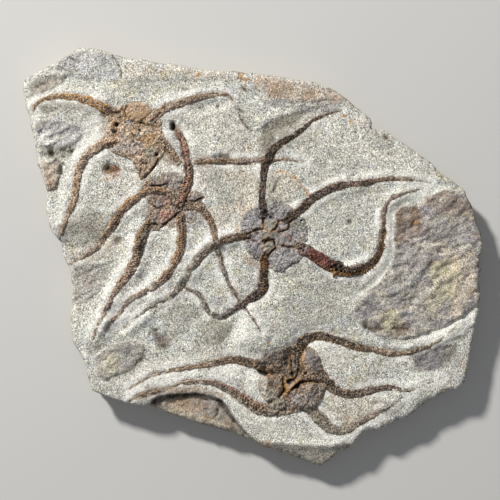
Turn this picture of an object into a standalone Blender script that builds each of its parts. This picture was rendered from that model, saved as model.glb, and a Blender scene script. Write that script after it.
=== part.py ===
"""Small slab of fine sandstone with four brittle stars lying on its upper face.

The slab lies flat. X runs along its longer side, Y along its shorter side and Z out of the fossil face.
The sandstone slab is one solid. Each brittle star branches, so its disc and each of its arms are solids of
their own, and a stray length of a fifth animal's arm is one more. All lengths below are millimetres.
"""

import math

import bmesh
import bpy
from mathutils import Vector, noise
from mathutils.bvhtree import BVHTree
from mathutils.geometry import delaunay_2d_cdt

METRES = 0.001
SLAB_TOP = 15.2
GAP = 0.3
FACE_GRID = 8.6
RIM_INSET = 1.1
RIM_DROP = 1.0
FOOT_INSET = 2.4
# Bands of the broken sides, top to bottom: inset from the edge, height and bedding plane followed.
SIDE_LEVELS = [
    (0.0, None, None), (0.9, 10.2, 0), (0.35, 9.4, 0), (1.1, 5.4, 1), (0.6, 4.5, 1), (FOOT_INSET, 0.0, None),
]
STATION = 3.2
ARM_HEIGHT = 0.34
ARM_BASE_HEIGHT = 0.4
RIB = 0.09
LOW_ROUGH = 0.22

# Edge of the slab seen from above, clockwise from its left corner.
SLAB_EDGE = [
    (-127.1, 94.2), (-126.2, 97.5), (-123.5, 100.2), (-115.5, 104.3), (-107.0, 108.5), (-101.2, 112.0),
    (-95.4, 115.6), (-93.2, 115.6), (-83.9, 114.5), (-78.9, 113.2), (-77.8, 112.1), (-72.9, 111.5),
    (-66.8, 109.6), (-60.2, 109.3), (-56.9, 107.9), (-45.4, 107.1), (-37.0, 105.5), (-28.9, 103.9),
    (-20.2, 103.4), (-11.8, 102.9), (-3.0, 101.7), (-1.4, 102.4), (9.6, 100.5), (15.1, 100.2), (26.1, 97.8),
    (33.3, 96.7), (42.1, 93.9), (47.0, 91.2), (54.8, 85.2), (63.0, 78.8), (66.3, 74.4), (65.5, 71.1),
    (68.2, 71.1), (69.0, 69.3), (71.8, 70.5), (74.5, 69.2), (81.1, 64.2), (89.4, 59.0), (99.3, 51.6),
    (101.5, 48.5), (108.7, 43.2), (116.3, 37.8), (118.5, 32.0), (120.2, 29.8), (122.4, 22.6), (124.6, 15.5),
    (126.2, 9.5), (127.1, 7.8), (125.4, 0.1), (124.9, -5.4), (126.2, -6.7), (125.4, -8.7), (125.4, -19.7),
    (124.3, -32.3), (122.7, -41.1), (120.7, -48.3), (119.6, -57.6), (116.9, -69.7), (113.0, -73.6),
    (108.1, -73.6), (97.6, -78.8), (94.3, -81.5), (91.9, -82.1), (91.3, -84.0), (83.3, -89.2), (80.0, -90.1),
    (68.5, -96.1), (65.2, -95.4), (61.3, -96.4), (57.4, -101.0), (53.6, -105.5), (46.5, -108.8),
    (41.0, -114.3), (38.0, -115.6), (34.4, -114.8), (26.3, -111.8), (18.0, -108.8), (9.6, -105.7),
    (5.8, -104.9), (-0.3, -100.5), (-2.5, -100.5), (-10.2, -97.7), (-17.9, -95.0), (-28.9, -92.0),
    (-39.9, -89.0), (-49.0, -85.5), (-58.0, -82.1), (-61.3, -82.6), (-72.9, -79.6), (-80.9, -76.6),
    (-88.8, -73.6), (-90.8, -66.4), (-92.7, -59.3), (-94.9, -53.8), (-99.6, -45.5), (-100.4, -38.3),
    (-101.2, -31.2), (-99.6, -28.5), (-100.4, -22.4), (-99.8, -16.9), (-100.7, -7.0), (-104.8, 0.7),
    (-105.9, 7.8), (-111.4, 15.5), (-114.4, 27.1), (-113.6, 32.0), (-113.6, 36.4), (-115.8, 44.1),
    (-118.8, 51.3), (-118.5, 53.5), (-119.1, 57.3), (-120.9, 65.5), (-122.7, 73.8), (-124.9, 82.1),
]

# Patches of bedding left standing on the fossil face: edge, rise and width of the slope around it.
RAISED_PATCHES = {
    "right_crust": ([
        (107.0, 38.1), (97.6, 33.7), (92.1, 30.9), (91.6, 27.1), (86.6, 29.3), (81.1, 27.1), (78.4, 23.8),
        (77.8, 15.0), (78.4, 4.0), (77.3, -2.6), (72.9, -9.8), (65.7, -16.9), (59.1, -22.4), (55.3, -27.9),
        (56.4, -32.3), (60.2, -37.3), (67.4, -41.7), (75.6, -45.5), (83.9, -44.4), (94.9, -40.0),
        (103.1, -33.4), (111.4, -26.3), (118.4, -20.3), (121.6, -8.0), (121.8, 2.0), (122.4, 9.0),
        (119.0, 21.0), (114.5, 33.0)], 1.9, 2.2),
    "lower_right_oval": ([
        (88.8, -60.9), (89.9, -56.5), (94.3, -52.7), (100.9, -49.9), (107.5, -48.3), (111.4, -49.4),
        (109.7, -54.3), (106.4, -58.7), (100.9, -62.0), (94.3, -63.7)], 0.9, 1.5),
    "lower_left_oval": ([
        (-86.6, -57.6), (-83.9, -52.1), (-78.4, -48.3), (-71.8, -45.5), (-64.1, -46.1), (-59.1, -49.4),
        (-60.2, -54.3), (-65.2, -59.8), (-71.8, -64.2), (-79.5, -67.5), (-85.0, -66.4)], 1.1, 1.6),
    "left_block": ([
        (-115.0, 53.5), (-111.4, 54.9), (-106.6, 52.6), (-105.6, 48.0), (-106.6, 42.0), (-110.0, 37.5),
        (-112.2, 42.0)], 1.2, 1.3),
    "left_ledge": ([
        (-104.2, 8.2), (-101.5, 5.6), (-96.0, 4.0), (-90.5, 5.4), (-86.5, 8.4), (-89.5, 11.5), (-95.5, 13.0),
        (-101.0, 12.0)], 0.7, 1.2),
    "upper_tongue": ([
        (-10.7, 88.5), (-9.6, 82.6), (-8.0, 78.8), (-6.3, 75.5), (-4.7, 71.6), (-1.4, 70.0), (3.0, 70.3),
        (6.3, 72.2), (8.5, 74.4), (12.9, 76.6), (17.9, 78.2), (22.4, 79.3), (20.0, 84.5), (8.0, 88.5),
        (-2.0, 91.0)], 0.7, 1.2),
}

# Small holes and shallow pits in the fossil face: (x, y, radius, depth).
PITS = [
    (-44.0, 72.4, 1.5, 2.6), (-110.8, 57.1, 1.8, 1.6), (-99.6, 59.0, 1.0, 1.0), (-76.5, 48.2, 3.0, 0.9),
    (-19.0, 82.9, 1.0, 1.1), (53.6, 19.4, 1.2, 0.9), (-52.0, -47.0, 3.2, 0.7), (73.5, 65.2, 1.6, 0.8),
]

# Wall line of the chip broken out of the lower edge; the chip is open on the slab's edge side.
CHIP_WALL = [
    (-57.0, -80.9), (-54.7, -78.0), (-50.9, -76.3), (-45.4, -75.8), (-39.9, -75.5), (-33.3, -74.7),
    (-26.7, -75.2), (-17.9, -78.5), (-13.5, -82.9), (-11.3, -86.8), (-6.9, -92.3), (-3.4, -97.6),
]
CHIP_DEPTH = 3.4
CHIP_SLOPE = 0.8

# Line where the lower rim starts to fall away to the edge, and its steepness.
LOWER_RIM = [
    (-1.5, -98.6), (5.2, -100.5), (15.1, -102.2), (26.1, -103.3), (37.1, -103.8), (45.4, -104.4),
    (51.9, -104.9),
]
LOWER_RIM_FALL = 0.34

# Each brittle star: outline of its disc, then its arms as (x, y, width) down the middle, root to tip.
# Stars and arms are listed so that an arm crossing over another comes after it.
STARS = {
    "nw_star": {
        "disc": [
            (-81.1, 76.6), (-77.3, 81.0), (-71.8, 84.3), (-64.6, 85.9), (-59.1, 84.3), (-55.3, 81.0),
            (-50.9, 79.3), (-50.3, 72.7), (-49.8, 65.6), (-53.6, 61.2), (-59.1, 57.9), (-64.6, 57.9),
            (-71.8, 59.0), (-78.4, 61.2), (-81.7, 65.6), (-82.8, 71.1)],
        "arms": {
            "west": [
                (-78.5, 79.2, 5.0), (-86.1, 84.6, 4.6), (-91.6, 86.5, 4.4), (-97.1, 87.9, 3.9),
                (-107.0, 88.7, 3.3), (-111.4, 88.1, 2.8), (-118.5, 84.8, 1.9), (-121.0, 78.8, 1.1)],
            "east": [
                (-54.5, 77.2, 5.0), (-50.6, 80.2, 4.7), (-45.1, 82.9, 4.4), (-34.1, 86.5, 3.9),
                (-23.1, 89.0, 2.8), (-17.6, 89.8, 2.2), (-13.2, 89.2, 1.7), (-11.6, 87.2, 1.1)],
            "south_west": [
                (-75.5, 63.4, 5.0), (-80.4, 62.9, 5.0), (-83.9, 61.7, 5.0), (-91.3, 54.6, 5.0),
                (-94.1, 50.7, 5.0), (-96.8, 42.5, 4.7), (-97.9, 32.6, 4.0), (-102.9, 19.9, 2.8),
                (-105.4, 11.0, 1.4)],
            "south_east": [(-51.5, 66.4, 5.0), (-46.0, 59.0, 4.7), (-41.2, 51.6, 3.6)],
            "south": [(-63.0, 59.4, 7.4), (-61.4, 52.5, 6.2), (-60.2, 48.0, 5.0), (-59.1, 43.6, 2.4)],
        },
    },
    "w_star": {
        "disc": [
            (-58.0, 28.7), (-56.4, 34.2), (-48.1, 37.2), (-41.0, 34.2), (-34.4, 32.6), (-33.3, 27.1),
            (-37.7, 22.7), (-45.4, 19.4), (-52.0, 15.0), (-56.4, 16.1), (-60.2, 19.4), (-59.1, 24.9)],
        "arms": {
            "north": [
                (-39.4, 31.8, 4.4), (-36.9, 38.1, 4.8), (-35.5, 42.5, 5.0), (-35.2, 46.9, 5.0),
                (-37.4, 59.0, 4.7), (-38.2, 62.8, 4.4), (-41.8, 71.1, 3.3)],
            "west": [
                (-44.9, 34.6, 3.9), (-48.1, 35.9, 3.9), (-53.6, 37.0, 3.9), (-60.2, 35.3, 3.9),
                (-67.9, 29.8, 4.0), (-71.2, 26.5, 4.2), (-78.9, 14.4, 4.1), (-85.0, 6.2, 3.3),
                (-93.8, 0.1, 2.2), (-99.6, -3.3, 1.1)],
            "south_west": [
                (-55.4, 20.4, 5.5), (-60.8, 11.7, 6.1), (-64.2, -1.5, 5.2), (-65.2, -5.4, 5.0),
                (-73.1, -16.4, 3.9), (-77.5, -24.1, 3.3), (-83.0, -36.2, 2.2), (-85.2, -40.6, 1.9),
                (-89.9, -52.1, 1.1)],
            "south": [
                (-40.6, 24.4, 4.4), (-39.3, 20.5, 4.7), (-38.8, 10.6, 4.8), (-40.4, 1.8, 4.6),
                (-42.6, -2.1, 4.5), (-50.2, -14.1, 3.8), (-61.5, -21.3, 3.1), (-68.7, -26.8, 2.6),
                (-77.0, -36.1, 2.1), (-79.3, -39.4, 1.9), (-83.8, -48.8, 1.1)],
            "south_east": [
                (-36.0, 28.4, 4.4), (-31.6, 28.2, 4.4), (-28.3, 26.5, 4.4), (-25.0, 23.2, 4.4),
                (-21.2, 15.0, 4.0), (-19.0, 2.9, 3.0), (-14.6, -10.3, 2.8), (-12.9, -14.7, 2.6),
                (-6.3, -25.2, 2.0), (1.4, -35.6, 1.4), (4.7, -42.2, 1.1)],
        },
    },
    "centre_star": {
        "disc": [
            (3.0, 28.2), (-5.2, 23.2), (-6.9, 16.1), (-6.9, 7.8), (-1.4, 0.7), (5.2, -2.6), (17.9, -2.6),
            (26.1, 1.2), (30.5, 9.5), (29.4, 19.4), (26.1, 24.9), (17.9, 28.7), (9.6, 29.8)],
        "arms": {
            "north": [
                (6.4, 24.6, 4.4), (5.3, 31.0, 4.3), (5.2, 37.0, 4.0), (6.3, 48.0, 4.0), (10.2, 57.9, 4.4),
                (13.5, 61.7, 4.0), (22.3, 66.7, 3.2), (30.5, 73.3, 2.4), (34.4, 76.0, 2.0),
                (42.6, 79.3, 1.5), (48.7, 80.4, 1.0)],
            "east": [
                (20.0, 21.7, 3.9), (24.5, 24.9, 4.4), (31.6, 31.5, 4.4), (36.0, 34.2, 4.4),
                (41.0, 37.0, 4.4), (51.4, 40.3, 4.0), (61.9, 40.8, 3.2), (72.9, 43.0, 2.4),
                (83.9, 43.0, 1.7), (97.6, 41.1, 1.0)],
            "south_east": [
                (24.9, 7.2, 5.5), (36.0, -0.4, 6.8), (40.4, -3.2, 6.7), (45.4, -5.4, 6.7), (53.6, -7.6, 6.2),
                (58.0, -7.0, 5.8), (62.4, -5.1, 5.4), (66.3, -2.1, 5.0), (69.0, 1.8, 4.4), (71.2, 10.6, 3.4),
                (71.8, 21.6, 2.7), (72.3, 26.0, 2.6), (74.0, 29.8, 2.5), (77.3, 32.6, 2.2),
                (81.1, 34.2, 1.9), (93.0, 38.0, 1.0)],
            "south": [
                (7.2, 0.9, 5.0), (6.2, -2.6, 5.1), (6.3, -7.0, 5.2), (5.8, -15.8, 5.4), (3.6, -19.7, 5.5),
                (-8.0, -27.4, 4.3), (-16.8, -32.3, 3.7), (-20.6, -32.3, 3.5), (-23.9, -30.1, 3.3),
                (-27.8, -22.4, 2.5), (-30.5, -19.7, 2.1), (-35.3, -17.4, 1.2)],
            "west": [
                (-1.4, 12.8, 4.4), (-15.1, 9.5, 4.2), (-25.0, 4.0, 4.0), (-31.6, -3.7, 3.9),
                (-34.4, -7.0, 3.7), (-38.8, -14.7, 3.5), (-44.8, -21.3, 3.0), (-56.4, -27.4, 2.2),
                (-67.4, -35.1, 1.4), (-70.7, -38.4, 1.1)],
        },
    },
    "south_star": {
        "disc": [
            (19.5, -51.0), (9.6, -50.5), (5.2, -54.3), (4.1, -63.1), (4.1, -71.9), (7.4, -78.5),
            (12.9, -81.8), (19.5, -84.0), (27.8, -84.0), (37.1, -80.7), (39.9, -74.1), (38.2, -67.5),
            (37.7, -59.8), (30.5, -52.1)],
        "arms": {
            "north_east": [
                (24.3, -58.5, 5.8), (24.6, -53.8, 5.5), (25.6, -49.4, 5.2), (28.9, -45.5, 5.0),
                (33.3, -43.3, 4.8), (37.7, -43.3, 4.6), (42.6, -44.4, 4.4), (53.1, -47.7, 4.0),
                (57.5, -49.4, 3.9), (67.4, -51.0, 3.6), (72.9, -52.4, 3.5), (83.9, -52.7, 2.9),
                (94.9, -49.6, 2.2), (99.3, -47.4, 1.9), (107.0, -42.5, 1.4), (113.0, -36.7, 1.0)],
            "east": [
                (32.9, -65.5, 5.5), (37.1, -65.9, 5.5), (44.3, -71.9, 5.2), (48.1, -74.1, 5.0),
                (52.5, -75.2, 4.7), (57.5, -75.2, 4.4), (67.4, -72.7, 3.9), (75.6, -71.6, 3.3),
                (82.8, -73.3, 2.5), (86.6, -73.0, 2.1), (99.8, -68.1, 1.3), (104.2, -66.4, 1.0)],
            "south_east": [
                (28.6, -80.8, 6.6), (33.3, -84.6, 6.1), (39.9, -91.7, 6.1), (43.7, -94.5, 6.1),
                (48.1, -95.3, 5.5), (52.5, -94.5, 5.0), (60.2, -90.6, 3.3), (69.0, -85.7, 2.6),
                (73.4, -83.5, 2.2), (82.2, -77.7, 1.6)],
            "west": [
                (14.6, -59.6, 6.2), (6.9, -59.8, 5.5), (-4.1, -57.3, 4.7), (-9.6, -56.2, 4.4),
                (-13.5, -56.5, 4.1), (-26.7, -59.5, 3.1), (-37.1, -61.2, 2.8), (-47.0, -62.6, 2.4),
                (-52.0, -63.9, 2.2), (-60.2, -67.5, 1.8), (-67.4, -71.9, 1.3)],
            "south_west": [
                (14.6, -81.0, 7.2), (12.4, -82.9, 7.2), (8.5, -84.6, 6.6), (4.1, -83.5, 6.1),
                (-0.3, -81.3, 5.8), (-8.0, -75.8, 5.1), (-19.5, -70.0, 3.9), (-23.4, -68.9, 3.6),
                (-32.2, -68.6, 2.9), (-41.0, -69.7, 2.2), (-49.2, -73.0, 1.9), (-61.9, -75.8, 1.5),
                (-67.9, -79.2, 1.2)],
        },
    },
}

# Stray length of arm from an animal that isn't on the slab; it runs under the centre star's north arm.
STRAY_ARM = [
    (-32.0, 51.9, 2.8), (-28.9, 52.7, 2.8), (-23.4, 52.9, 2.9), (-17.9, 52.7, 3.4), (-12.4, 52.9, 3.0),
    (-6.9, 52.7, 2.8), (-1.4, 52.9, 2.5), (3.0, 53.5, 2.2), (12.4, 53.5, 1.9), (17.9, 53.8, 1.5),
    (23.4, 53.2, 1.2), (28.9, 52.9, 0.8),
]

# Lumps standing on each disc: (x, y, radius, rise). A negative rise is a hollow.
DISC_LUMPS = {
    "nw_star": [
        (-64.5, 81.5, 5.5, 0.7), (-74.5, 74.0, 2.6, -0.6), (-66.0, 71.0, 4.0, 0.6), (-57.5, 74.5, 4.0, 0.4),
        (-60.0, 65.0, 3.6, 0.5), (-69.0, 63.0, 3.0, 0.3), (-77.5, 68.0, 3.0, 0.4)],
    "w_star": [
        (-52.0, 30.5, 4.5, 0.5), (-52.5, 22.0, 5.0, 0.7), (-42.5, 28.0, 3.5, 0.5), (-37.0, 28.5, 3.0, 0.6),
        (-46.5, 24.5, 2.2, -0.4)],
    "centre_star": [
        (8.4, 18.0, 3.0, 1.0), (17.2, 17.6, 3.2, 1.2), (18.6, 10.8, 3.0, 1.0), (9.0, 6.2, 3.0, 1.1),
        (5.6, 12.8, 3.2, 1.0), (12.4, 12.8, 2.2, -0.7)],
    "south_star": [
        (14.0, -57.0, 7.0, 0.6), (33.5, -57.5, 4.5, 0.7), (10.5, -71.5, 6.0, 1.0), (29.0, -77.5, 6.5, 1.0),
        (23.5, -69.0, 2.6, -0.8), (22.5, -62.0, 2.0, -0.7), (17.6, -74.5, 2.2, -0.7)],
}
DISC_THICKNESS = {"nw_star": 0.7, "w_star": 0.7, "centre_star": 0.6, "south_star": 0.8}

# Finish of each kind of piece: colour (linear RGB) and roughness.
FINISHES = {
    "sandstone": ((0.60, 0.57, 0.49), 0.95),
    "nw_star_disc": ((0.38, 0.25, 0.16), 0.9),
    "nw_star_arms": ((0.46, 0.27, 0.15), 0.9),
    "w_star_disc": ((0.27, 0.16, 0.12), 0.9),
    "w_star_arms": ((0.25, 0.15, 0.09), 0.9),
    "centre_star_disc": ((0.30, 0.26, 0.25), 0.9),
    "centre_star_arms": ((0.13, 0.085, 0.06), 0.85),
    "south_star_disc": ((0.20, 0.14, 0.10), 0.9),
    "south_star_arms": ((0.19, 0.13, 0.09), 0.9),
    "stray_arm": ((0.27, 0.16, 0.09), 0.9),
}


def clear_scene():
    for item in list(bpy.data.objects):
        bpy.data.objects.remove(item, do_unlink=True)


def make_material(name):
    colour, roughness = FINISHES[name]
    material = bpy.data.materials.get(name)
    if material is None:
        material = bpy.data.materials.new(name)
        material.use_nodes = True
        shader = material.node_tree.nodes["Principled BSDF"]
        shader.inputs["Base Color"].default_value = (*colour, 1.0)
        shader.inputs["Roughness"].default_value = roughness
        shader.inputs["Metallic"].default_value = 0.0
        material.diffuse_color = (*colour, 1.0)
    return material


def finish_piece(name, bm, finish):
    """Turn a mesh in millimetres into a named object in metres and return its surface for later pieces."""
    bmesh.ops.triangulate(bm, faces=bm.faces)
    bmesh.ops.recalc_face_normals(bm, faces=bm.faces)
    surface = BVHTree.FromBMesh(bm)
    bmesh.ops.scale(bm, vec=(METRES, METRES, METRES), verts=bm.verts)
    mesh = bpy.data.meshes.new(name)
    bm.to_mesh(mesh)
    bm.free()
    mesh.materials.append(make_material(finish))
    piece = bpy.data.objects.new(name, mesh)
    bpy.context.scene.collection.objects.link(piece)
    return surface


def smooth_step(value):
    value = min(1.0, max(0.0, value))
    return value * value * (3.0 - 2.0 * value)


def inside(polygon, x, y):
    result = False
    for (ax, ay), (bx, by) in zip(polygon, polygon[1:] + polygon[:1]):
        if (ay > y) != (by > y) and x < ax + (y - ay) * (bx - ax) / (by - ay):
            result = not result
    return result


def line_distance(line, x, y, closed):
    """Distance from a point to the nearest stretch of a line."""
    pairs = list(zip(line, line[1:]))
    if closed:
        pairs.append((line[-1], line[0]))
    best = 1e9
    for (ax, ay), (bx, by) in pairs:
        dx = bx - ax
        dy = by - ay
        along = ((x - ax) * dx + (y - ay) * dy) / (dx * dx + dy * dy)
        along = min(1.0, max(0.0, along))
        best = min(best, math.hypot(x - ax - along * dx, y - ay - along * dy))
    return best


def offset_ring(ring, distances):
    """Move each point of a clockwise ring inwards by its own distance."""
    count = len(ring)
    moved = []
    for index in range(count):
        before = Vector(ring[index - 1])
        here = Vector(ring[index])
        after = Vector(ring[(index + 1) % count])
        first = (here - before).normalized()
        second = (after - here).normalized()
        inward = Vector((first.y + second.y, -first.x - second.x)).normalized()
        moved.append(tuple(here + inward * distances[index]))
    return moved


def clockwise(ring):
    area = sum(ax * by - bx * ay for (ax, ay), (bx, by) in zip(ring, ring[1:] + ring[:1]))
    return ring if area < 0.0 else ring[::-1]


def chip_outline():
    """The chip's wall line closed outside the slab, so that the chip runs out through the edge."""
    return clockwise(CHIP_WALL + [(0.0, -106.0), (-30.0, -99.0), (-62.0, -88.0)])


def rim_outline():
    return clockwise(LOWER_RIM + [(50.0, -125.0), (20.0, -125.0), (-3.0, -108.0)])


def face_height(x, y):
    """Height of the fossil face: slow waves of the bedding, patches left standing and broken hollows."""
    height = SLAB_TOP
    height += 0.28 * math.sin(x / 37.0 + 0.6) * math.cos(y / 29.0 - 0.4)
    height += 0.16 * math.sin((x + 1.4 * y) / 21.0)
    for outline, rise, slope in RAISED_PATCHES.values():
        if inside(outline, x, y):
            depth_in = line_distance(outline, x, y, True)
            share = smooth_step(depth_in / slope)
            rough = noise.noise(Vector((x / 9.0, y / 9.0, 3.0)))
            height += share * (rise + rough * 1.6 * LOW_ROUGH * rise)
    chip = chip_outline()
    if inside(chip, x, y):
        share = smooth_step(line_distance(CHIP_WALL, x, y, False) / CHIP_SLOPE)
        height -= share * (CHIP_DEPTH + 0.5 * noise.noise(Vector((x / 7.0, y / 7.0, 8.0))))
    if inside(rim_outline(), x, y):
        height -= LOWER_RIM_FALL * line_distance(LOWER_RIM, x, y, False)
    for pit_x, pit_y, radius, depth in PITS:
        height -= depth * smooth_step(1.25 * (1.0 - math.hypot(x - pit_x, y - pit_y) / radius))
    return height


def add_line(points, edges, line, closed):
    """Add a line of points and the edges that join them to the lists a surface is made from."""
    start = len(points)
    points.extend(Vector(point) for point in line)
    for index in range(len(line) - 1):
        edges.append((start + index, start + index + 1))
    if closed:
        edges.append((start + len(line) - 1, start))


def add_grid(points, boundary, lines, pitch, margin):
    """Fill a boundary with staggered points that stay clear of the lines drawn inside it."""
    low_x = min(x for x, y in boundary)
    high_x = max(x for x, y in boundary)
    low_y = min(y for x, y in boundary)
    high_y = max(y for x, y in boundary)
    row = 0
    y = low_y + pitch * 0.5
    while y < high_y:
        x = low_x + pitch * (0.25 + 0.5 * (row % 2))
        while x < high_x:
            wobble = noise.noise_vector(Vector((x * 0.37, y * 0.37, 1.0))) * pitch * 0.22
            px = x + wobble.x
            py = y + wobble.y
            clear = inside(boundary, px, py)
            for line, closed in lines:
                clear = clear and line_distance(line, px, py, closed) > margin
            if clear:
                points.append(Vector((px, py)))
            x += pitch
        y += pitch * 0.87
        row += 1


def surface_mesh(bm, points, edges, height_at):
    """Triangulate points and lines inside the first ring drawn and lift them to their heights."""
    flat, _, faces, _, _, _ = delaunay_2d_cdt(points, edges, [], 1, 1e-4)
    verts = [bm.verts.new((point.x, point.y, height_at(point.x, point.y))) for point in flat]
    for face in faces:
        bm.faces.new([verts[index] for index in face])
    loose = [vert for vert in verts if not vert.link_faces]
    bmesh.ops.delete(bm, geom=loose, context="VERTS")


def boundary_loop(bm):
    """Vertices round the open edge of a surface, in order."""
    first = next(edge for edge in bm.edges if edge.is_boundary)
    loop = [first.verts[0], first.verts[1]]
    used = {first}
    while True:
        options = [e for e in loop[-1].link_edges if e.is_boundary and e not in used]
        if not options:
            return loop
        used.add(options[0])
        following = options[0].other_vert(loop[-1])
        if following is loop[0]:
            return loop
        loop.append(following)


def build_slab():
    """Sandstone slab: fossil face with its patches and chip, ragged broken sides and a flat underside."""
    edge = clockwise(SLAB_EDGE)
    count = len(edge)
    rim = offset_ring(edge, [RIM_INSET] * count)
    points = []
    edges = []
    add_line(points, edges, rim, True)
    lines = [(rim, True)]
    for outline, _, slope in RAISED_PATCHES.values():
        foot = clockwise(outline)
        crown = offset_ring(foot, [slope] * len(foot))
        for ring in (foot, crown):
            add_line(points, edges, ring, True)
            lines.append((ring, True))
    for x, y, radius, _ in PITS:
        for reach in (radius, 0.45 * radius):
            turns = [math.tau * step / 7.0 for step in range(7)]
            ring = [(x + reach * math.cos(turn), y + reach * math.sin(turn)) for turn in turns]
            add_line(points, edges, ring, True)
            lines.append((ring, True))
    floor_line = [(x + 0.25, y - 0.85) for x, y in CHIP_WALL[1:-2]]
    floor_line += [(x - 0.85, y - 0.3) for x, y in CHIP_WALL[-2:-1]]
    for line in (CHIP_WALL[1:-1], floor_line, LOWER_RIM[1:-1]):
        add_line(points, edges, line, False)
        lines.append((line, False))
    add_grid(points, rim, lines, FACE_GRID, 2.4)
    bm = bmesh.new()
    surface_mesh(bm, points, edges, face_height)
    loop = boundary_loop(bm)
    add_sides(bm, loop, edge)
    return finish_piece("matrix_slab", bm, "sandstone")


def add_sides(bm, loop, edge):
    """Drop ragged bands from the rim to the foot, broken at two bedding planes, and close the underside."""
    def nearest(vert):
        return min(range(len(edge)), key=lambda i: math.hypot(edge[i][0] - vert.co.x, edge[i][1] - vert.co.y))

    rings = [loop]
    for inset, height, bed in SIDE_LEVELS:
        ring = []
        for vert in loop:
            index = nearest(vert)
            x, y = edge[index]
            ragged = 0.0
            level = vert.co.z - RIM_DROP if height is None else height
            if bed is not None:
                ragged = inset * (1.0 + noise.noise(Vector((x / 9.0, y / 9.0, 5.0 * inset))))
                level += 1.3 * noise.noise(Vector((x / 24.0, y / 24.0, 9.0 + bed)))
            elif height is not None:
                ragged = inset
            moved_x, moved_y = offset_ring(edge, [ragged] * len(edge))[index]
            ring.append(bm.verts.new((moved_x, moved_y, level)))
        rings.append(ring)
    count = len(loop)
    for upper, lower in zip(rings, rings[1:]):
        for index in range(count):
            other = (index + 1) % count
            bm.faces.new((upper[index], lower[index], lower[other], upper[other]))
    bm.faces.new(rings[-1])


def ground(surfaces, x, y):
    """Highest point of the pieces already laid down under a place on the face."""
    best = -1.0
    for surface in surfaces:
        hit = surface.ray_cast(Vector((x, y, 60.0)), Vector((0.0, 0.0, -1.0)))
        if hit[0] is not None:
            best = max(best, hit[0].z)
    return best


def build_disc(star, surfaces):
    """Low leathery disc of a star, with the lumps and hollows of its plates and mouth."""
    outline = clockwise(STARS[star]["disc"])
    thickness = DISC_THICKNESS[star]
    count = len(outline)
    foot = []
    for index in range(count):
        before = Vector(outline[index - 1])
        here = Vector(outline[index])
        after = Vector(outline[(index + 1) % count])
        foot.append(tuple((before + here * 6.0 + after) / 8.0))
        foot.append(tuple((here + after) / 2.0))
    crown = offset_ring(foot, [1.3] * len(foot))
    under = max(ground(surfaces, x, y) for x, y in foot) + GAP
    points = []
    edges = []
    add_line(points, edges, foot, True)
    add_line(points, edges, crown, True)
    add_grid(points, crown, [(crown, True)], 2.9, 1.1)
    for x, y, radius, rise in DISC_LUMPS[star]:
        points.append(Vector((x, y)))

    def top(x, y):
        height = under + 0.35
        share = smooth_step(line_distance(foot, x, y, True) / 1.3)
        lift = thickness
        for lump_x, lump_y, radius, rise in DISC_LUMPS[star]:
            lift += rise * math.exp(-((x - lump_x) ** 2 + (y - lump_y) ** 2) / (0.6 * radius * radius))
        lift += 0.22 * noise.noise(Vector((x / 2.6, y / 2.6, 4.0)))
        return height + share * max(0.15, lift)

    bm = bmesh.new()
    surface_mesh(bm, points, edges, top)
    loop = boundary_loop(bm)
    lower = [bm.verts.new((vert.co.x, vert.co.y, under)) for vert in loop]
    for index in range(len(loop)):
        other = (index + 1) % len(loop)
        bm.faces.new((loop[index], lower[index], lower[other], loop[other]))
    bm.faces.new(lower)
    return finish_piece(f"{star}_disc", bm, f"{star}_disc")


def curve_point(points, place):
    """Point and width on a smooth curve through the given points; place counts points."""
    index = min(int(place), len(points) - 2)
    t = place - index
    before = Vector(points[max(index - 1, 0)])
    here = Vector(points[index])
    after = Vector(points[index + 1])
    beyond = Vector(points[min(index + 2, len(points) - 1)])
    slope_here = (after - before) * 0.5
    slope_after = (beyond - here) * 0.5
    square = t * t
    cube = square * t
    return (here * (2 * cube - 3 * square + 1) + slope_here * (cube - 2 * square + t)
            + after * (3 * square - 2 * cube) + slope_after * (cube - square))


def arm_stations(points):
    """Evenly spaced stations along an arm: centre, direction and width."""
    fine = [curve_point(points, step / 12.0) for step in range(12 * (len(points) - 1) + 1)]
    lengths = [0.0]
    for first, second in zip(fine, fine[1:]):
        lengths.append(lengths[-1] + (second.xy - first.xy).length)
    count = max(4, round(lengths[-1] / STATION))
    stations = []
    for step in range(count + 1):
        target = lengths[-1] * step / count
        index = next((i for i in range(1, len(lengths)) if lengths[i] >= target - 1e-6), len(lengths) - 1)
        share = (target - lengths[index - 1]) / (lengths[index] - lengths[index - 1])
        stations.append(fine[index - 1].lerp(fine[index], share))
    result = []
    for step in range(count + 1):
        before = stations[max(step - 1, 0)]
        after = stations[min(step + 1, count)]
        result.append((stations[step].xy, (after.xy - before.xy).normalized(), stations[step].z))
    return result


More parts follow.
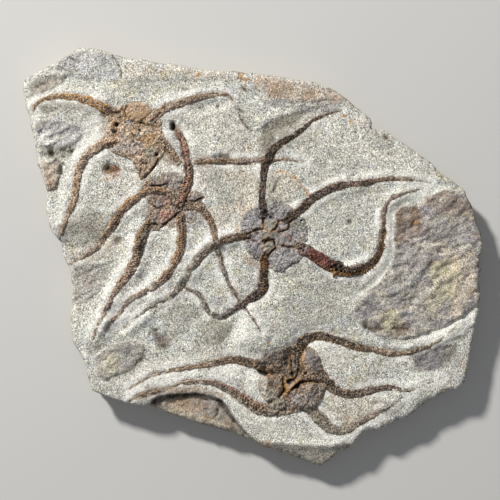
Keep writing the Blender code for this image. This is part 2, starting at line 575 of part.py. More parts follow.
def build_arm(name, finish, points, surfaces, lump_at=None):
    """Low ribbed arm that follows whatever it lies on, a little clear of it."""
    stations = arm_stations(points)
    count = len(stations)
    rests = []
    for centre, along, width in stations:
        across = Vector((-along.y, along.x))
        samples = []
        for forward in (-0.5, -0.25, 0.0, 0.25, 0.5):
            for side in (-0.5, -0.25, 0.0, 0.25, 0.5):
                place = centre + along * (forward * STATION * 1.3) + across * (side * width)
                samples.append(ground(surfaces, place.x, place.y))
        rests.append(max(samples) + GAP)
    bm = bmesh.new()
    rings = []
    for step, (centre, along, width) in enumerate(stations):
        across = Vector((-along.y, along.x))
        rest = rests[step]
        swell = 1.0 + RIB * (1.0 if step % 2 else -1.0)
        height = (ARM_BASE_HEIGHT + ARM_HEIGHT * width) * (1.0 + 0.5 * RIB * (1.0 if step % 2 else -1.0))
        if lump_at is not None and (centre - Vector(lump_at)).length < 2.6:
            height += 0.8
        half = 0.5 * width * swell
        ring = []
        for side, level in ((0.86, 0.0), (1.0, 0.42), (0.12, 1.0), (-1.0, 0.42), (-0.86, 0.0)):
            place = centre + across * (side * half)
            ring.append(bm.verts.new((place.x, place.y, rest + level * height)))
        rings.append(ring)
    for first, second in zip(rings, rings[1:]):
        for index in range(5):
            other = (index + 1) % 5
            bm.faces.new((first[index], first[other], second[other], second[index]))
    bm.faces.new(rings[0])
    bm.faces.new(rings[count - 1])
    return finish_piece(name, bm, finish)


def build_part():
    clear_scene()
    surfaces = [build_slab()]
    surfaces.append(build_arm("stray_arm", "stray_arm", STRAY_ARM, surfaces, lump_at=(-16.5, 53.0)))
    for star, shape in STARS.items():
        surfaces.append(build_disc(star, surfaces))
        for side, points in shape["arms"].items():
            surfaces.append(build_arm(f"{star}_{side}_arm", f"{star}_arms", points, surfaces))


build_part()
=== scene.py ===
import math

import bmesh
import bpy
import numpy as np
from mathutils import Matrix, Vector


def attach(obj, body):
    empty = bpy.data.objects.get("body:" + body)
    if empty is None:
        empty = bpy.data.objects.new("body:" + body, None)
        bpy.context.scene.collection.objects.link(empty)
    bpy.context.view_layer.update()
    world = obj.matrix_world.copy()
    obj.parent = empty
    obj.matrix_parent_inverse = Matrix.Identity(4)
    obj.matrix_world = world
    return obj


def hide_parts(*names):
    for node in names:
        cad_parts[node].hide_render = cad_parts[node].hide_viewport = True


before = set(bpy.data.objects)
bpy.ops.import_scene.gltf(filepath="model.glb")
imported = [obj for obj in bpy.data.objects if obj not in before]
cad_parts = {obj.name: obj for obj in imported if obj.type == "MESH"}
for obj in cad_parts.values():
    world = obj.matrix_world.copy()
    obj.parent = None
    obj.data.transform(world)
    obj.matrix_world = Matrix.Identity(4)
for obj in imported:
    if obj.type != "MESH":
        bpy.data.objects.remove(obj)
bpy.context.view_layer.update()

# ---- Sandstone slab ----------------------------------------------------------------------------------
# A thin-bedded slab of fine pale sandstone, broken round its edge. Its face was worked down to the layer
# the animals lie on: patches of the layer above are left standing, the stone rises in low banks under
# some arms and was cut into hollows round others, and one chip is out of the lower edge. Millimetres.


def rough(x, y, size, seed, octaves=3):
    """Uneven ground about zero: lumps size apart with finer ones on top."""
    total = np.zeros(np.shape(x))
    wide = 128
    for octave in range(octaves):
        table = np.random.default_rng(seed + 31 * octave).random((wide, wide)) - 0.5
        turn = 0.7 + 1.9 * octave + seed
        u = (x * math.cos(turn) + y * math.sin(turn)) / size + 400.0
        v = (y * math.cos(turn) - x * math.sin(turn)) / size + 400.0
        i = np.floor(u).astype(int)
        j = np.floor(v).astype(int)
        f = (u - i) ** 2 * (3.0 - 2.0 * (u - i))
        g = (v - j) ** 2 * (3.0 - 2.0 * (v - j))
        i, j, k, m = i % wide, j % wide, (i + 1) % wide, (j + 1) % wide
        low = table[i, j] * (1.0 - f) + table[k, j] * f
        high = table[i, m] * (1.0 - f) + table[k, m] * f
        total += 0.5 ** octave * (low * (1.0 - g) + high * g)
        size *= 0.5
    return total


def ease(value):
    """From 0 to 1, slowly at both ends."""
    value = np.clip(value, 0.0, 1.0)
    return value * value * (3.0 - 2.0 * value)


def near(line, x, y, reach, closed=False):
    """Distance to a line, side of it (+1 is right of its direction), share of its length and foot point."""
    line = np.array(line, float)[:, :2]
    start = line if closed else line[:-1]
    run = (np.roll(line, -1, 0) if closed else line[1:]) - start
    square = np.maximum((run ** 2).sum(1), 1e-12)
    result = [np.full(x.shape, float(reach)), np.zeros(x.shape), np.zeros(x.shape), x.copy(), y.copy()]
    low, high = line.min(0) - reach, line.max(0) + reach
    picked = np.flatnonzero((x > low[0]) & (x < high[0]) & (y > low[1]) & (y < high[1]))
    for part in np.array_split(picked, 1 + picked.size * len(start) // 3000000):
        px = x[part, None] - start[:, 0]
        py = y[part, None] - start[:, 1]
        t = np.clip((px * run[:, 0] + py * run[:, 1]) / square, 0.0, 1.0)
        gap = np.hypot(px - t * run[:, 0], py - t * run[:, 1])
        best = gap.argmin(1)
        row = np.arange(part.size)
        t = t[row, best]
        result[0][part] = np.minimum(gap[row, best], reach)
        cross = run[best, 0] * py[row, best] - run[best, 1] * px[row, best]
        result[1][part] = np.where(cross < 0.0, 1.0, -1.0)
        result[2][part] = (best + t) / len(start)
        result[3][part] = start[best, 0] + t * run[best, 0]
        result[4][part] = start[best, 1] + t * run[best, 1]
    return result


def inside(outline, x, y):
    """Which places lie within an outline."""
    result = np.zeros(x.shape, bool)
    for (ax, ay), (bx, by) in zip(outline, outline[1:] + outline[:1]):
        if ay != by:
            result ^= ((ay > y) != (by > y)) & (x < ax + (y - ay) * (bx - ax) / (by - ay))
    return result


def depth_in(outline, x, y, reach=9.0):
    """Distance to an outline, positive inside it and negative outside."""
    gap = near(outline, x, y, reach, True)[0]
    return np.where(inside(outline, x, y), gap, -gap)


def curve(points, step):
    """Smooth course through points, at even steps. Columns after x and y, such as width, go along."""
    points = np.array(points, float)
    padded = np.vstack([2 * points[0] - points[1], points, 2 * points[-1] - points[-2]])
    fine = []
    for a, b, c, d in zip(padded, padded[1:], padded[2:], padded[3:]):
        for t in np.linspace(0.0, 1.0, 16, endpoint=False):
            fine.append(0.5 * (2 * b + (c - a) * t + (2 * a - 5 * b + 4 * c - d) * t ** 2
                               + (3 * b - a - 3 * c + d) * t ** 3))
    fine = np.array(fine + [points[-1]])
    length = np.concatenate([[0.0], np.cumsum(np.hypot(*np.diff(fine[:, :2], axis=0).T))])
    places = np.linspace(0.0, length[-1], max(3, int(length[-1] / step)))
    return np.column_stack([np.interp(places, length, column) for column in fine.T])


face_height, chip_depth, bevel_fall = 15.1, 2.4, 0.3
slab_edge = [
    (-127.1, 94.2), (-126.2, 97.5), (-123.5, 100.2), (-120.2, 101.9), (-115.8, 103.8), (-111.4, 106.3),
    (-107, 108.5), (-102.6, 111.2), (-98.2, 114), (-95.4, 115.6), (-93.2, 115.6), (-88.8, 115.4),
    (-83.9, 114.5), (-80.6, 113.7), (-78.9, 113.2), (-77.8, 112.1), (-72.9, 111.5), (-69.6, 110.1),
    (-66.8, 109.6), (-60.2, 109.3), (-56.9, 107.9), (-50.9, 107.4), (-45.4, 107.1), (-39.9, 106),
    (-34.4, 104.9), (-28.9, 103.9), (-23.4, 103.5), (-17.9, 103), (-11.8, 102.9), (-6.9, 102.4), (-3, 101.7),
    (-1.4, 102.4), (4.1, 101.3), (9.6, 100.5), (15.1, 100.2), (20.6, 98.9), (26.1, 97.8), (33.3, 96.7),
    (37.1, 95.6), (42.1, 93.9), (47, 91.2), (50.3, 88.7), (53.1, 86.5), (56.4, 83.7), (59.7, 81), (63, 78.8),
    (65.2, 76.6), (66.3, 74.4), (65.5, 71.1), (68.2, 71.1), (69, 68.9), (70.1, 70.3), (71.8, 70.5),
    (74.5, 69.2), (77.8, 66.7), (81.1, 64.2), (85.5, 61.5), (89.4, 59), (92.7, 56.2), (96.5, 53.5),
    (99.3, 51.6), (101.5, 48.5), (105.9, 45.2), (110.3, 42.2), (114.1, 39.2), (116.3, 37.8), (117.4, 35.9),
    (118.5, 32), (120.2, 29.8), (121.8, 25.4), (122.9, 21), (124.6, 15.5), (126, 13.3), (126.2, 9.5),
    (127.1, 7.8), (126.5, 4), (125.4, 0.1), (124.9, -5.4), (126.2, -6.7), (125.4, -8.7), (125.1, -15.3),
    (125.4, -19.7), (124.9, -26.3), (124.3, -32.3), (123.5, -35.6), (122.7, -41.1), (121.8, -44.4),
    (120.7, -48.3), (120.2, -52.1), (119.6, -57.6), (117.7, -65.9), (116.9, -69.7), (115.2, -71.4),
    (113, -73.6), (108.1, -73.6), (103.1, -75.8), (97.6, -78.8), (94.3, -81.5), (91.9, -82.1), (91.3, -84),
    (87.2, -87), (83.3, -89.2), (80, -90.1), (75.6, -92.5), (71.8, -94.5), (70.1, -95.6), (68.5, -96.1),
    (65.2, -95.4), (61.3, -96.4), (58, -100.5), (53.6, -105.5), (50.9, -107.1), (46.5, -108.8),
    (43.7, -111.8), (41, -114.3), (38.8, -115.6), (37.1, -115.6), (34.4, -114.8), (28.9, -112.6),
    (26.1, -111.5), (20.6, -109.6), (15.1, -107.9), (9.6, -105.7), (5.8, -104.9), (3, -103), (-0.3, -100.5),
    (-2.5, -100.5), (-6.9, -98.9), (-12.4, -96.9), (-17.9, -95), (-23.4, -93.6), (-28.9, -92.3),
    (-34.4, -90.6), (-39.9, -89), (-45.4, -86.8), (-50.9, -84.8), (-56.4, -82.6), (-58, -82.1),
    (-61.3, -82.6), (-64.6, -81.8), (-67.4, -81), (-72.9, -79.6), (-78.4, -77.7), (-83.9, -75.8),
    (-87.2, -74.4), (-88.8, -73.6), (-89.4, -71.9), (-90.5, -67.5), (-91.6, -63.1), (-92.7, -59.3),
    (-94.9, -53.8), (-97.6, -49.4), (-99.6, -45.5), (-100.1, -40), (-100.7, -35.6), (-101.2, -31.2),
    (-99.6, -28.5), (-99.6, -24.6), (-100.4, -22.4), (-99.8, -16.9), (-100.1, -12.5), (-100.7, -7),
    (-102.6, -3.7), (-104.8, 0.7), (-105.1, 4), (-105.9, 7.8), (-107.5, 9.5), (-109.7, 12.8), (-111.4, 15.5),
    (-112.5, 19.9), (-113.6, 23.8), (-114.4, 27.1), (-113.9, 29.8), (-113.6, 32), (-113.6, 36.4),
    (-114.7, 38.6), (-115.8, 44.1), (-117.2, 48), (-118.8, 51.3), (-118.5, 53.5), (-119.1, 57.3),
    (-119.9, 61.2), (-121, 65.6), (-121.8, 70), (-122.7, 73.8), (-122.7, 76.6), (-123.5, 79.3),
    (-124.9, 82.1), (-125.4, 85.9), (-126.2, 90.3),
]

# Arms, root to tip, as (x, y, width). The slab needs their courses for its banks and hollows.
arms = {
    "nw_star_west": [
        (-77.3, 79.9, 5), (-81.7, 82.1, 5), (-86.1, 84.6, 4.7), (-91.6, 86.5, 4.5), (-97.1, 87.9, 3.9),
        (-102.6, 88.4, 3.5), (-107, 88.7, 3.1), (-111.4, 88.1, 2.6), (-115.2, 86.8, 2.2),
        (-118.5, 84.8, 1.8), (-120.2, 82.1, 1.4), (-121, 78.8, 1.1),
    ],
    "nw_star_east": [
        (-58.9, 73.6, 5), (-55, 76.3, 4.7), (-50.6, 80.4, 4.5), (-45.1, 82.9, 4.3), (-39.6, 84.8, 4.1),
        (-34.1, 86.8, 3.9), (-28.6, 88.1, 3.3), (-23.1, 89.3, 2.8), (-17.6, 89.8, 2.2), (-13.2, 89.1, 1.7),
        (-11, 86.5, 1.1),
    ],
    "nw_star_south_west": [
        (-74, 63.4, 5), (-78.4, 63.1, 5), (-83.3, 61.7, 5), (-87.2, 59, 5), (-91.6, 55.1, 5),
        (-94.1, 51.3, 5), (-96, 46.9, 5), (-96.8, 42.5, 5), (-97.4, 37, 4.4), (-97.9, 32.6, 4),
        (-99.8, 27.1, 3.6), (-101.5, 23.2, 3.1), (-103.1, 19.4, 2.8), (-104.5, 15.5, 2.3),
        (-105.3, 12.8, 1.9), (-106.7, 9.5, 1.3),
    ],
    "nw_star_south_east": [
        (-52, 66.7, 5), (-49.2, 62.8, 5), (-45.9, 59, 4.6), (-42.6, 54.9, 4.2), (-39.9, 51, 3.6),
    ],
    "nw_star_south": [
        (-63, 60.1, 7.7), (-62.2, 56.2, 7.2), (-61.3, 52.4, 6.3), (-60.3, 48, 5), (-59.1, 43.6, 2.2),
    ],
    "w_star_north": [
        (-41, 27.1, 4.4), (-39.9, 30.4, 4.5), (-38.5, 34.2, 4.7), (-36.9, 38.1, 5), (-35.5, 42.5, 5),
        (-35.2, 46.9, 5), (-36, 50.7, 5), (-36.6, 55.1, 4.7), (-37.4, 59, 4.6), (-38.2, 62.8, 4.4),
        (-40.2, 67.2, 4.1), (-42.1, 71.1, 3.3),
    ],
    "w_star_west": [
        (-44.3, 33.7, 3.9), (-48.1, 35.9, 3.9), (-53.6, 37, 3.9), (-57.5, 36.4, 3.9), (-60.2, 35.3, 3.9),
        (-64.1, 32.6, 4), (-67.9, 29.8, 4.2), (-71.2, 26.5, 4.4), (-74, 22.7, 4.4), (-76.2, 18.8, 4.3),
        (-78.9, 14.4, 4.1), (-82.2, 10.6, 3.6), (-85, 6.2, 3.3), (-89.4, 2.9, 2.8), (-93.8, 0.1, 2.2),
        (-97.6, -1.8, 1.7), (-100.4, -3.7, 1.1),
    ],
    "w_star_south_west": [
        (-55.3, 20.5, 5.2), (-58.6, 16.1, 5.8), (-60.8, 11.7, 6.1), (-61.9, 7.3, 5.8), (-63, 2.9, 5.5),
        (-64.4, -1.5, 5.2), (-66, -5.4, 5), (-68.5, -9.2, 4.6), (-71.2, -12.5, 4.3), (-74, -16.4, 3.9),
        (-76.2, -20.2, 3.6), (-78.4, -24.1, 3.3), (-80.1, -27.9, 2.9), (-81.8, -31.8, 2.5),
        (-84, -36.2, 2.3), (-86.2, -40.6, 2), (-87.6, -44.4, 1.7), (-88.7, -48.3, 1.4), (-89.8, -52.1, 1.1),
    ],
    "w_star_south": [
        (-40.4, 24.9, 4.4), (-39.3, 20.5, 4.7), (-38.8, 15, 5), (-38.8, 10.6, 4.8), (-39.3, 6.2, 4.7),
        (-40.4, 1.8, 4.6), (-42.4, -2.1, 4.5), (-44.8, -5.9, 4.4), (-47.6, -10.3, 4.1), (-50.9, -13.6, 3.7),
        (-54.6, -16.4, 3.5), (-58.5, -18.6, 3.2), (-62.3, -20.8, 2.9), (-66.2, -23.5, 2.8),
        (-69.5, -26.3, 2.6), (-72.2, -29.6, 2.4), (-75.1, -32.9, 2.1), (-77.8, -35.6, 1.9),
        (-80, -38.9, 1.7), (-81.7, -42.2, 1.5), (-83.1, -45.5, 1.4), (-84.7, -48.8, 1.1),
    ],
    "w_star_south_east": [
        (-39.3, 27.6, 4.4), (-35.5, 28.2, 4.4), (-31.6, 28.2, 4.4), (-28.3, 26.5, 4.4), (-25, 23.2, 4.4),
        (-22.8, 19.4, 4.2), (-21.2, 15, 4), (-20.6, 10.6, 3.4), (-20.1, 7.3, 3.1), (-19, 2.9, 2.9),
        (-17.3, -1.5, 2.8), (-16.2, -5.9, 2.8), (-14.6, -10.3, 2.6), (-12.9, -14.7, 2.4),
        (-10.7, -18.6, 2.2), (-8.5, -21.9, 2), (-6.3, -25.2, 1.8), (-3.6, -28.5, 1.5), (-1.4, -31.8, 1.4),
        (1.4, -35.6, 1.3), (3.6, -39.5, 1.2), (4.7, -42.2, 1),
    ],
    "centre_star_north": [
        (7.4, 21, 4.4), (5.8, 26, 4.4), (5.2, 31.5, 4.2), (5.2, 37, 4.1), (5.8, 42.5, 4), (6.3, 48, 4),
        (8, 52.9, 4.3), (10.2, 57.9, 4.5), (13.5, 61.7, 4.2), (17.9, 64.5, 3.6), (22.3, 66.7, 3.2),
        (26.7, 70, 2.9), (30.5, 73.3, 2.5), (34.4, 76, 2.1), (38.2, 77.7, 1.8), (42.6, 79.3, 1.4),
        (45.9, 80.2, 1.2), (48.7, 80.4, 0.9),
    ],
    "centre_star_east": [
        (16.2, 19.4, 3.6), (20.6, 22.1, 4.1), (24.5, 24.9, 4.4), (27.8, 27.6, 4.4), (31.6, 31.5, 4.4),
        (36, 34.2, 4.4), (41, 37, 4.4), (45.9, 38.6, 4.4), (51.4, 40.3, 4.1), (56.4, 40.6, 3.6),
        (61.9, 40.8, 3.2), (67.4, 42.2, 2.8), (72.9, 43, 2.4), (78.4, 43, 2), (83.9, 43, 1.7),
        (89.4, 42.5, 1.3), (94.3, 41.7, 1), (97.6, 41.1, 0.9),
    ],
    "centre_star_south_east": [
        (23.9, 7.8, 5), (27.2, 5.6, 6.1), (31.6, 2.3, 6.8), (36, -0.4, 6.8), (40.4, -3.2, 6.7),
        (45.4, -5.4, 6.6), (49.8, -7, 6.3), (53.6, -7.6, 5.8), (58, -7, 5.5), (62.4, -5.1, 4.7),
        (66.3, -2.1, 4.1), (69, 1.8, 3.4), (70.4, 6.2, 3), (71.2, 10.6, 2.6), (71.8, 16.1, 2.4),
        (71.8, 21.6, 2.3), (72.3, 26, 2.2), (74, 29.8, 2.1), (77.3, 32.6, 2), (81.1, 34.2, 1.7),
        (85.5, 35.9, 1.4), (89.9, 37, 1.2), (94.3, 38.4, 0.9),
    ],
    "centre_star_west": [
        (-0.3, 13.1, 4.1), (-5.2, 11.7, 4.2), (-9.6, 11.1, 4.2), (-15.1, 9.5, 4.1), (-20.6, 6.7, 4),
        (-25, 4, 4), (-28.9, 0.1, 3.9), (-31.6, -3.7, 3.7), (-34.4, -7, 3.6), (-36.6, -10.9, 3.5),
        (-38.8, -14.7, 3.3), (-41.5, -18, 3), (-44.8, -21.3, 2.8), (-48.1, -23.5, 2.5), (-52, -25.2, 2.2),
        (-56.4, -27.4, 2), (-60.2, -30.1, 1.7), (-64.1, -32.9, 1.4), (-67.4, -35.1, 1.3), (-70.7, -38.4, 1),
    ],
    "centre_star_south": [
        (8.5, 3.4, 4.4), (6.3, -1.5, 5), (6.3, -7, 5.3), (6.3, -11.4, 5.5), (5.8, -15.8, 5.5),
        (3.6, -19.7, 5.1), (-0.3, -22.4, 4.7), (-4.1, -24.6, 4.3), (-8, -27.4, 3.9), (-12.4, -30.1, 3.6),
        (-16.8, -32.3, 3.5), (-20.6, -32.3, 3.3), (-23.9, -30.1, 3), (-26.1, -26.3, 2.8),
        (-27.8, -22.4, 2.5), (-30.5, -19.7, 2.1), (-34.4, -18, 1.7), (-37.1, -16.6, 1.2),
    ],
    "south_star_north_east": [
        (23.9, -64.2, 6.1), (24.5, -59.3, 6.1), (24.5, -53.8, 5.5), (25.6, -49.4, 5.3), (28.9, -45.5, 5.1),
        (33.3, -43.3, 4.8), (37.7, -43.3, 4.6), (42.6, -44.4, 4.4), (48.1, -46.1, 4.2), (53.1, -47.7, 4.1),
        (57.5, -49.4, 3.9), (61.9, -50.2, 3.8), (67.4, -51, 3.6), (72.9, -52.4, 3.5), (78.4, -52.9, 3.2),
        (83.9, -52.7, 2.9), (89.4, -51.3, 2.5), (94.9, -49.6, 2.1), (99.3, -47.4, 1.8), (103.1, -45.2, 1.5),
        (107, -42.5, 1.3), (110.3, -39.5, 1.1), (113, -36.7, 0.9),
    ],
    "south_star_east": [
        (27.8, -66.4, 4.4), (33.3, -65.6, 5.3), (37.1, -66.4, 5.5), (41, -68.6, 5.5), (44.3, -71.9, 5.3),
        (48.1, -74.1, 5), (52.5, -75.2, 4.6), (57.5, -75.2, 4.3), (62.4, -74.1, 4), (67.4, -72.7, 3.6),
        (71.8, -71.9, 3.3), (75.6, -71.6, 2.9), (79.5, -72.2, 2.4), (82.8, -73.3, 2.1), (86.6, -73, 1.8),
        (91, -71.6, 1.4), (95.4, -69.7, 1.2), (99.8, -68.1, 1), (104.2, -66.4, 0.9),
    ],
    "south_star_south_east": [
        (26.1, -79.1, 7.2), (30, -81.8, 6.6), (33.3, -84.6, 6.2), (36.6, -88.4, 6.1), (39.9, -91.7, 6.1),
        (43.7, -94.5, 5.9), (48.1, -95.3, 5.5), (52.5, -94.5, 4.8), (56.4, -92.5, 4), (60.2, -90.6, 3.3),
        (64.6, -88.1, 2.8), (69, -85.7, 2.3), (73.4, -83.5, 1.9), (77.8, -80.7, 1.4), (82.8, -77.2, 1),
    ],
    "south_star_west": [
        (19, -59.3, 6.1), (12.4, -59.8, 5.7), (6.9, -59.8, 5.5), (1.4, -58.7, 5.2), (-4.1, -57.3, 4.7),
        (-9.6, -56.2, 4.4), (-13.5, -56.5, 4.1), (-17.9, -57.6, 3.7), (-22.3, -58.4, 3.3),
        (-26.7, -59.5, 3.1), (-31.6, -60.4, 2.9), (-37.1, -61.2, 2.8), (-42.6, -61.7, 2.5),
        (-47, -62.6, 2.3), (-52, -63.9, 2.1), (-56.4, -65.6, 1.8), (-60.2, -67.5, 1.5), (-64.1, -69.7, 1.3),
        (-67.4, -71.9, 1.1),
    ],
    "south_star_south_west": [
        (17.9, -78, 6.6), (12.9, -82.4, 7.2), (8.5, -84.6, 6.8), (4.1, -83.5, 6.3), (-0.3, -81.3, 5.8),
        (-4.1, -78.5, 5.6), (-8, -75.8, 5.2), (-11.8, -73.6, 4.7), (-15.7, -71.6, 4.3), (-19.5, -70, 3.9),
        (-23.4, -68.9, 3.5), (-27.8, -68.6, 3.2), (-32.2, -68.6, 2.8), (-36.6, -68.9, 2.4),
        (-41, -69.7, 2.1), (-45.4, -71.4, 1.9), (-49.2, -73, 1.8), (-53.6, -74.1, 1.7), (-58, -74.7, 1.5),
        (-61.9, -75.8, 1.5), (-65.2, -77.4, 1.4), (-67.9, -79.6, 1.1),
    ],
    "stray": [
        (-32.7, 51.9, 2.8), (-28.9, 52.7, 2.8), (-23.4, 52.9, 2.9), (-17.9, 52.9, 3.5), (-12.4, 52.9, 3.1),
        (-6.9, 52.7, 2.9), (-1.4, 52.9, 2.5), (3, 53.5, 2.3), (7.4, 53.5, 2.1), (12.4, 53.5, 1.8),
        (17.9, 53.8, 1.5), (23.4, 53.2, 1.2), (28.9, 52.9, 0.8),
    ],
}
# How each arm lies: rise of the bank under its root and its tip (a hollow if negative), how far the bank
# reaches on the arm's left and on its right.
beds = {
    "nw_star_west": (1.4, 1.2, 5.5, 4.5), "nw_star_east": (0.7, 1.1, 5.0, 4.0),
    "nw_star_south_west": (0.9, 1.2, 14.0, 3.8), "nw_star_south_east": (0.3, -0.4, 3.0, 3.0),
    "nw_star_south": (0.3, 0.2, 3.0, 3.0), "w_star_north": (0.2, -1.3, 3.6, 3.6),
    "w_star_west": (1.1, 0.5, 4.5, 3.6), "w_star_south_west": (1.6, 2.4, 3.6, 3.8),
    "w_star_south": (1.2, 2.0, 3.6, 3.4), "w_star_south_east": (0.4, 0.6, 3.0, 3.0),
    "centre_star_north": (0.9, 0.5, 3.4, 4.4), "centre_star_east": (0.8, 1.2, 3.6, 4.2),
    "centre_star_south_east": (0.8, 1.7, 3.0, 4.4), "centre_star_west": (1.3, 1.7, 4.0, 3.2),
    "centre_star_south": (-0.9, -0.6, 4.0, 4.2), "south_star_north_east": (-2.1, 1.2, 4.6, 4.4),
    "south_star_east": (-0.9, 0.7, 4.2, 4.2), "south_star_south_east": (-0.8, 0.7, 4.4, 4.2),
    "south_star_west": (-1.7, 1.5, 4.4, 4.8), "south_star_south_west": (-0.6, 1.4, 4.4, 4.4),
    "stray": (-0.3, -0.3, 3.0, 3.0),
}
courses = {name: curve(points, 1.0) for name, points in arms.items()}
# Patches of the layer above: outline, rise, slope round it, roughness.
patches = [
    ([(107, 38.1), (103.7, 36.2), (97.6, 33.7), (92.1, 30.9), (91.6, 27.1), (86.6, 29.3), (81.1, 27.1),
      (78.4, 23.8), (77.8, 15), (78.4, 4), (77.3, -2.6), (72.9, -9.8), (65.7, -16.9), (59.1, -22.4),
      (55.3, -27.9), (56.4, -32.3), (60.2, -37.3), (67.4, -41.7), (75.6, -45.5), (83.9, -45), (94.9, -42.2),
      (105.3, -37.8), (115.2, -32.3), (124, -25.7), (130.6, -22.4), (130.6, 4), (127.3, 18.3), (121.8, 29.3),
      (115.2, 34.8)], 1.4, 1.3, 1.1),
    ([(88.8, -63.1), (89.9, -57.1), (94.3, -53.2), (100.9, -51), (108.6, -48.8), (113.6, -48.3),
      (112.5, -52.1), (108.6, -57.6), (103.1, -60.9), (96.5, -63.1)], -0.7, 1.6, 0.5),
    ([(-86.6, -57.6), (-85, -53.2), (-80.6, -49.9), (-74, -47.4), (-67.4, -46.3), (-61.3, -46.6),
      (-59.7, -49.9), (-61.3, -55.4), (-66.3, -60.9), (-72.9, -64.2), (-80.6, -67),
      (-85.5, -65.3)], 0.9, 1.3, 0.8),
    ([(-115.8, 53.5), (-113.6, 51.8), (-110.8, 52.4), (-108.6, 54.6), (-105.3, 53.5), (-105.9, 49.6),
      (-104.8, 46.9), (-107, 42.5), (-108.1, 39.2), (-111.4, 37), (-113, 37),
      (-114.7, 42.5)], 0.8, 1.2, 1.3),
    ([(-120.2, 73.3), (-116.9, 75.5), (-111.4, 76.3), (-105.9, 76), (-99.3, 74.9), (-95.4, 71.6),
      (-93.8, 66.7), (-98.2, 62.3), (-104.8, 60.1), (-112.5, 60.6), (-118, 62.3),
      (-119.6, 67.8)], 0.55, 1.2, 1.1),
    ([(-124.6, 87.6), (-120.7, 94.2), (-115.8, 98.6), (-111.4, 100.8), (-107, 101.9), (-102.6, 100.2),
      (-104.8, 96.4), (-110.3, 93.1), (-115.8, 91.4), (-120.2, 88.7)], 0.3, 1.6, 1.2),
    ([(-99.3, -3.7), (-92.7, -2.6), (-85, -2.6), (-79.5, -3.7), (-78.4, -5.9), (-81.7, -12.5),
      (-86.1, -19.1), (-91.6, -25.2), (-98.2, -26.8), (-99.3, -18), (-99.3, -10.3)], 0.35, 2, 1.1),
]
# Plain dips and swells in the clean stone, in the same terms.
dips = [
    ([(-36.6, 82.1), (-30, 85.4), (-23.4, 87), (-15.7, 87.3), (-11.3, 85.9), (-14.6, 83.7), (-21.2, 81.5),
      (-28.9, 78.8), (-34.4, 76.6)], -0.9, 5, 0.2),
    ([(-38.8, 79.9), (-31.1, 83.2), (-21.2, 82.1), (-11.3, 84.3), (-8, 76.6), (-4.7, 70), (-6.9, 61.2),
      (-14.6, 56.8), (-26.7, 55.7), (-32.2, 59), (-34.4, 68.9)], 0.35, 5, 0.2),
    ([(-81.7, 51.8), (-77.3, 52.4), (-73.4, 49.1), (-72.9, 44.7), (-77.3, 43), (-81.7, 46.3)], -0.5, 2, 0.9),
    ([(-55.3, -37.8), (-50.9, -40), (-47.6, -45.5), (-47, -50.5), (-50.9, -51), (-54.2, -46.6),
      (-56.9, -42.2)], -0.7, 2, 0.9),
    ([(-77.3, 13.9), (-70.7, 17.2), (-66.3, 13.9), (-69.6, 8.4), (-75.1, 6.2)], -0.7, 4, 0.4),
    ([(-116.9, 60.1), (-107, 60.6), (-97.1, 60.1), (-98.2, 55.7), (-105.9, 54.6),
      (-114.7, 54.6)], -0.7, 3, 0.9),
    ([(-24.5, 6.2), (-16.8, 7.3), (-6.9, 6.2), (-0.3, 0.7), (-3.6, -2.6), (-14.6, -2.6),
      (-22.3, -0.4)], -0.8, 4, 0.3),
    ([(65.7, 74.4), (73.4, 71.1), (80, 63.4), (78.9, 54.6), (72.3, 53.5), (69, 62.3)], -0.35, 3, 0.4),
    ([(8.5, 44.7), (12.9, 48), (18.4, 45.8), (23.9, 41.4), (27.2, 35.9), (20.6, 31.5), (12.9, 30.4),
      (8.5, 33.7)], 0.5, 3, 0.5),
    ([(-9.1, -30.1), (-0.3, -26.8), (6.3, -33.4), (9.6, -42.2), (3, -48.8), (-4.7, -52.1),
      (-11.3, -45.5)], 0.7, 6, 0.3),
    ([(70.1, -43.3), (83.3, -45.5), (96.5, -43.3), (108.6, -38.4), (118.5, -32.3), (127.3, -25.7),
      (127.3, -33.4), (114.1, -43.3), (99.8, -49.9), (83.3, -51), (72.3, -48.8)], 0.9, 2.5, 0.2),
]
# Steps of the bedding: line, drop at it, and how far the ground sinks to it on its left and climbs
# on its right.
steps = [
    ([(-111.4, 11.7), (-105.9, 7.8), (-99.3, 4.5), (-91.6, 4.5), (-86.1, 6.7), (-81.7, 10.6), (-77.3, 16.6),
      (-72.3, 24.3), (-65.2, 32.6)], 1.9, 7, 12),
    ([(-124.6, 84.3), (-119.6, 90.9), (-113.6, 95.3), (-107.5, 98), (-102, 99.4), (-96, 98), (-88.3, 97.5),
      (-81.1, 96.9), (-72.9, 96.7), (-56.4, 97.2), (-34.4, 97.2), (-20.6, 97.5),
      (-10.2, 97.5)], 0.75, 0.6, 6),
    ([(5.2, 65.6), (6.9, 71.1), (10.2, 74.9), (15.1, 77.1), (20.6, 78.5), (27.2, 79.9), (34.9, 81.5),
      (42.6, 83.7)], 0.9, 0.8, 9),
    ([(-1.4, 95.3), (3, 91.4), (8.5, 88.1), (15.1, 85.9), (23.9, 84.8), (34.4, 85.4), (43.2, 86.5),
      (50.9, 84.3)], 0.9, 0.6, 7),
    ([(-77.3, 111.8), (-74.5, 107.9), (-72.6, 104.1), (-72.1, 100.8), (-72.6, 97.5)], 0.55, 0.4, 7),
    ([(10.7, -26.3), (17.9, -22.4), (26.1, -20.2), (34.4, -18.6), (42.6, -17.2)], -0.4, 4, 9),
    ([(4.7, -57.1), (7.4, -54.3), (10.7, -51.8), (16.2, -49.9), (22.3, -47.7), (25.6, -43.9)], 1.4, 3, 9),
    ([(68.5, -76.9), (75.6, -73.6), (83.3, -74.7), (88.8, -76.3)], 0.4, 0.6, 5),
    ([(-35.5, 51.3), (-28.9, 50.2), (-17.9, 50.5), (-6.9, 50.7), (1.9, 50.7)], 0.4, 0.6, 12),
]
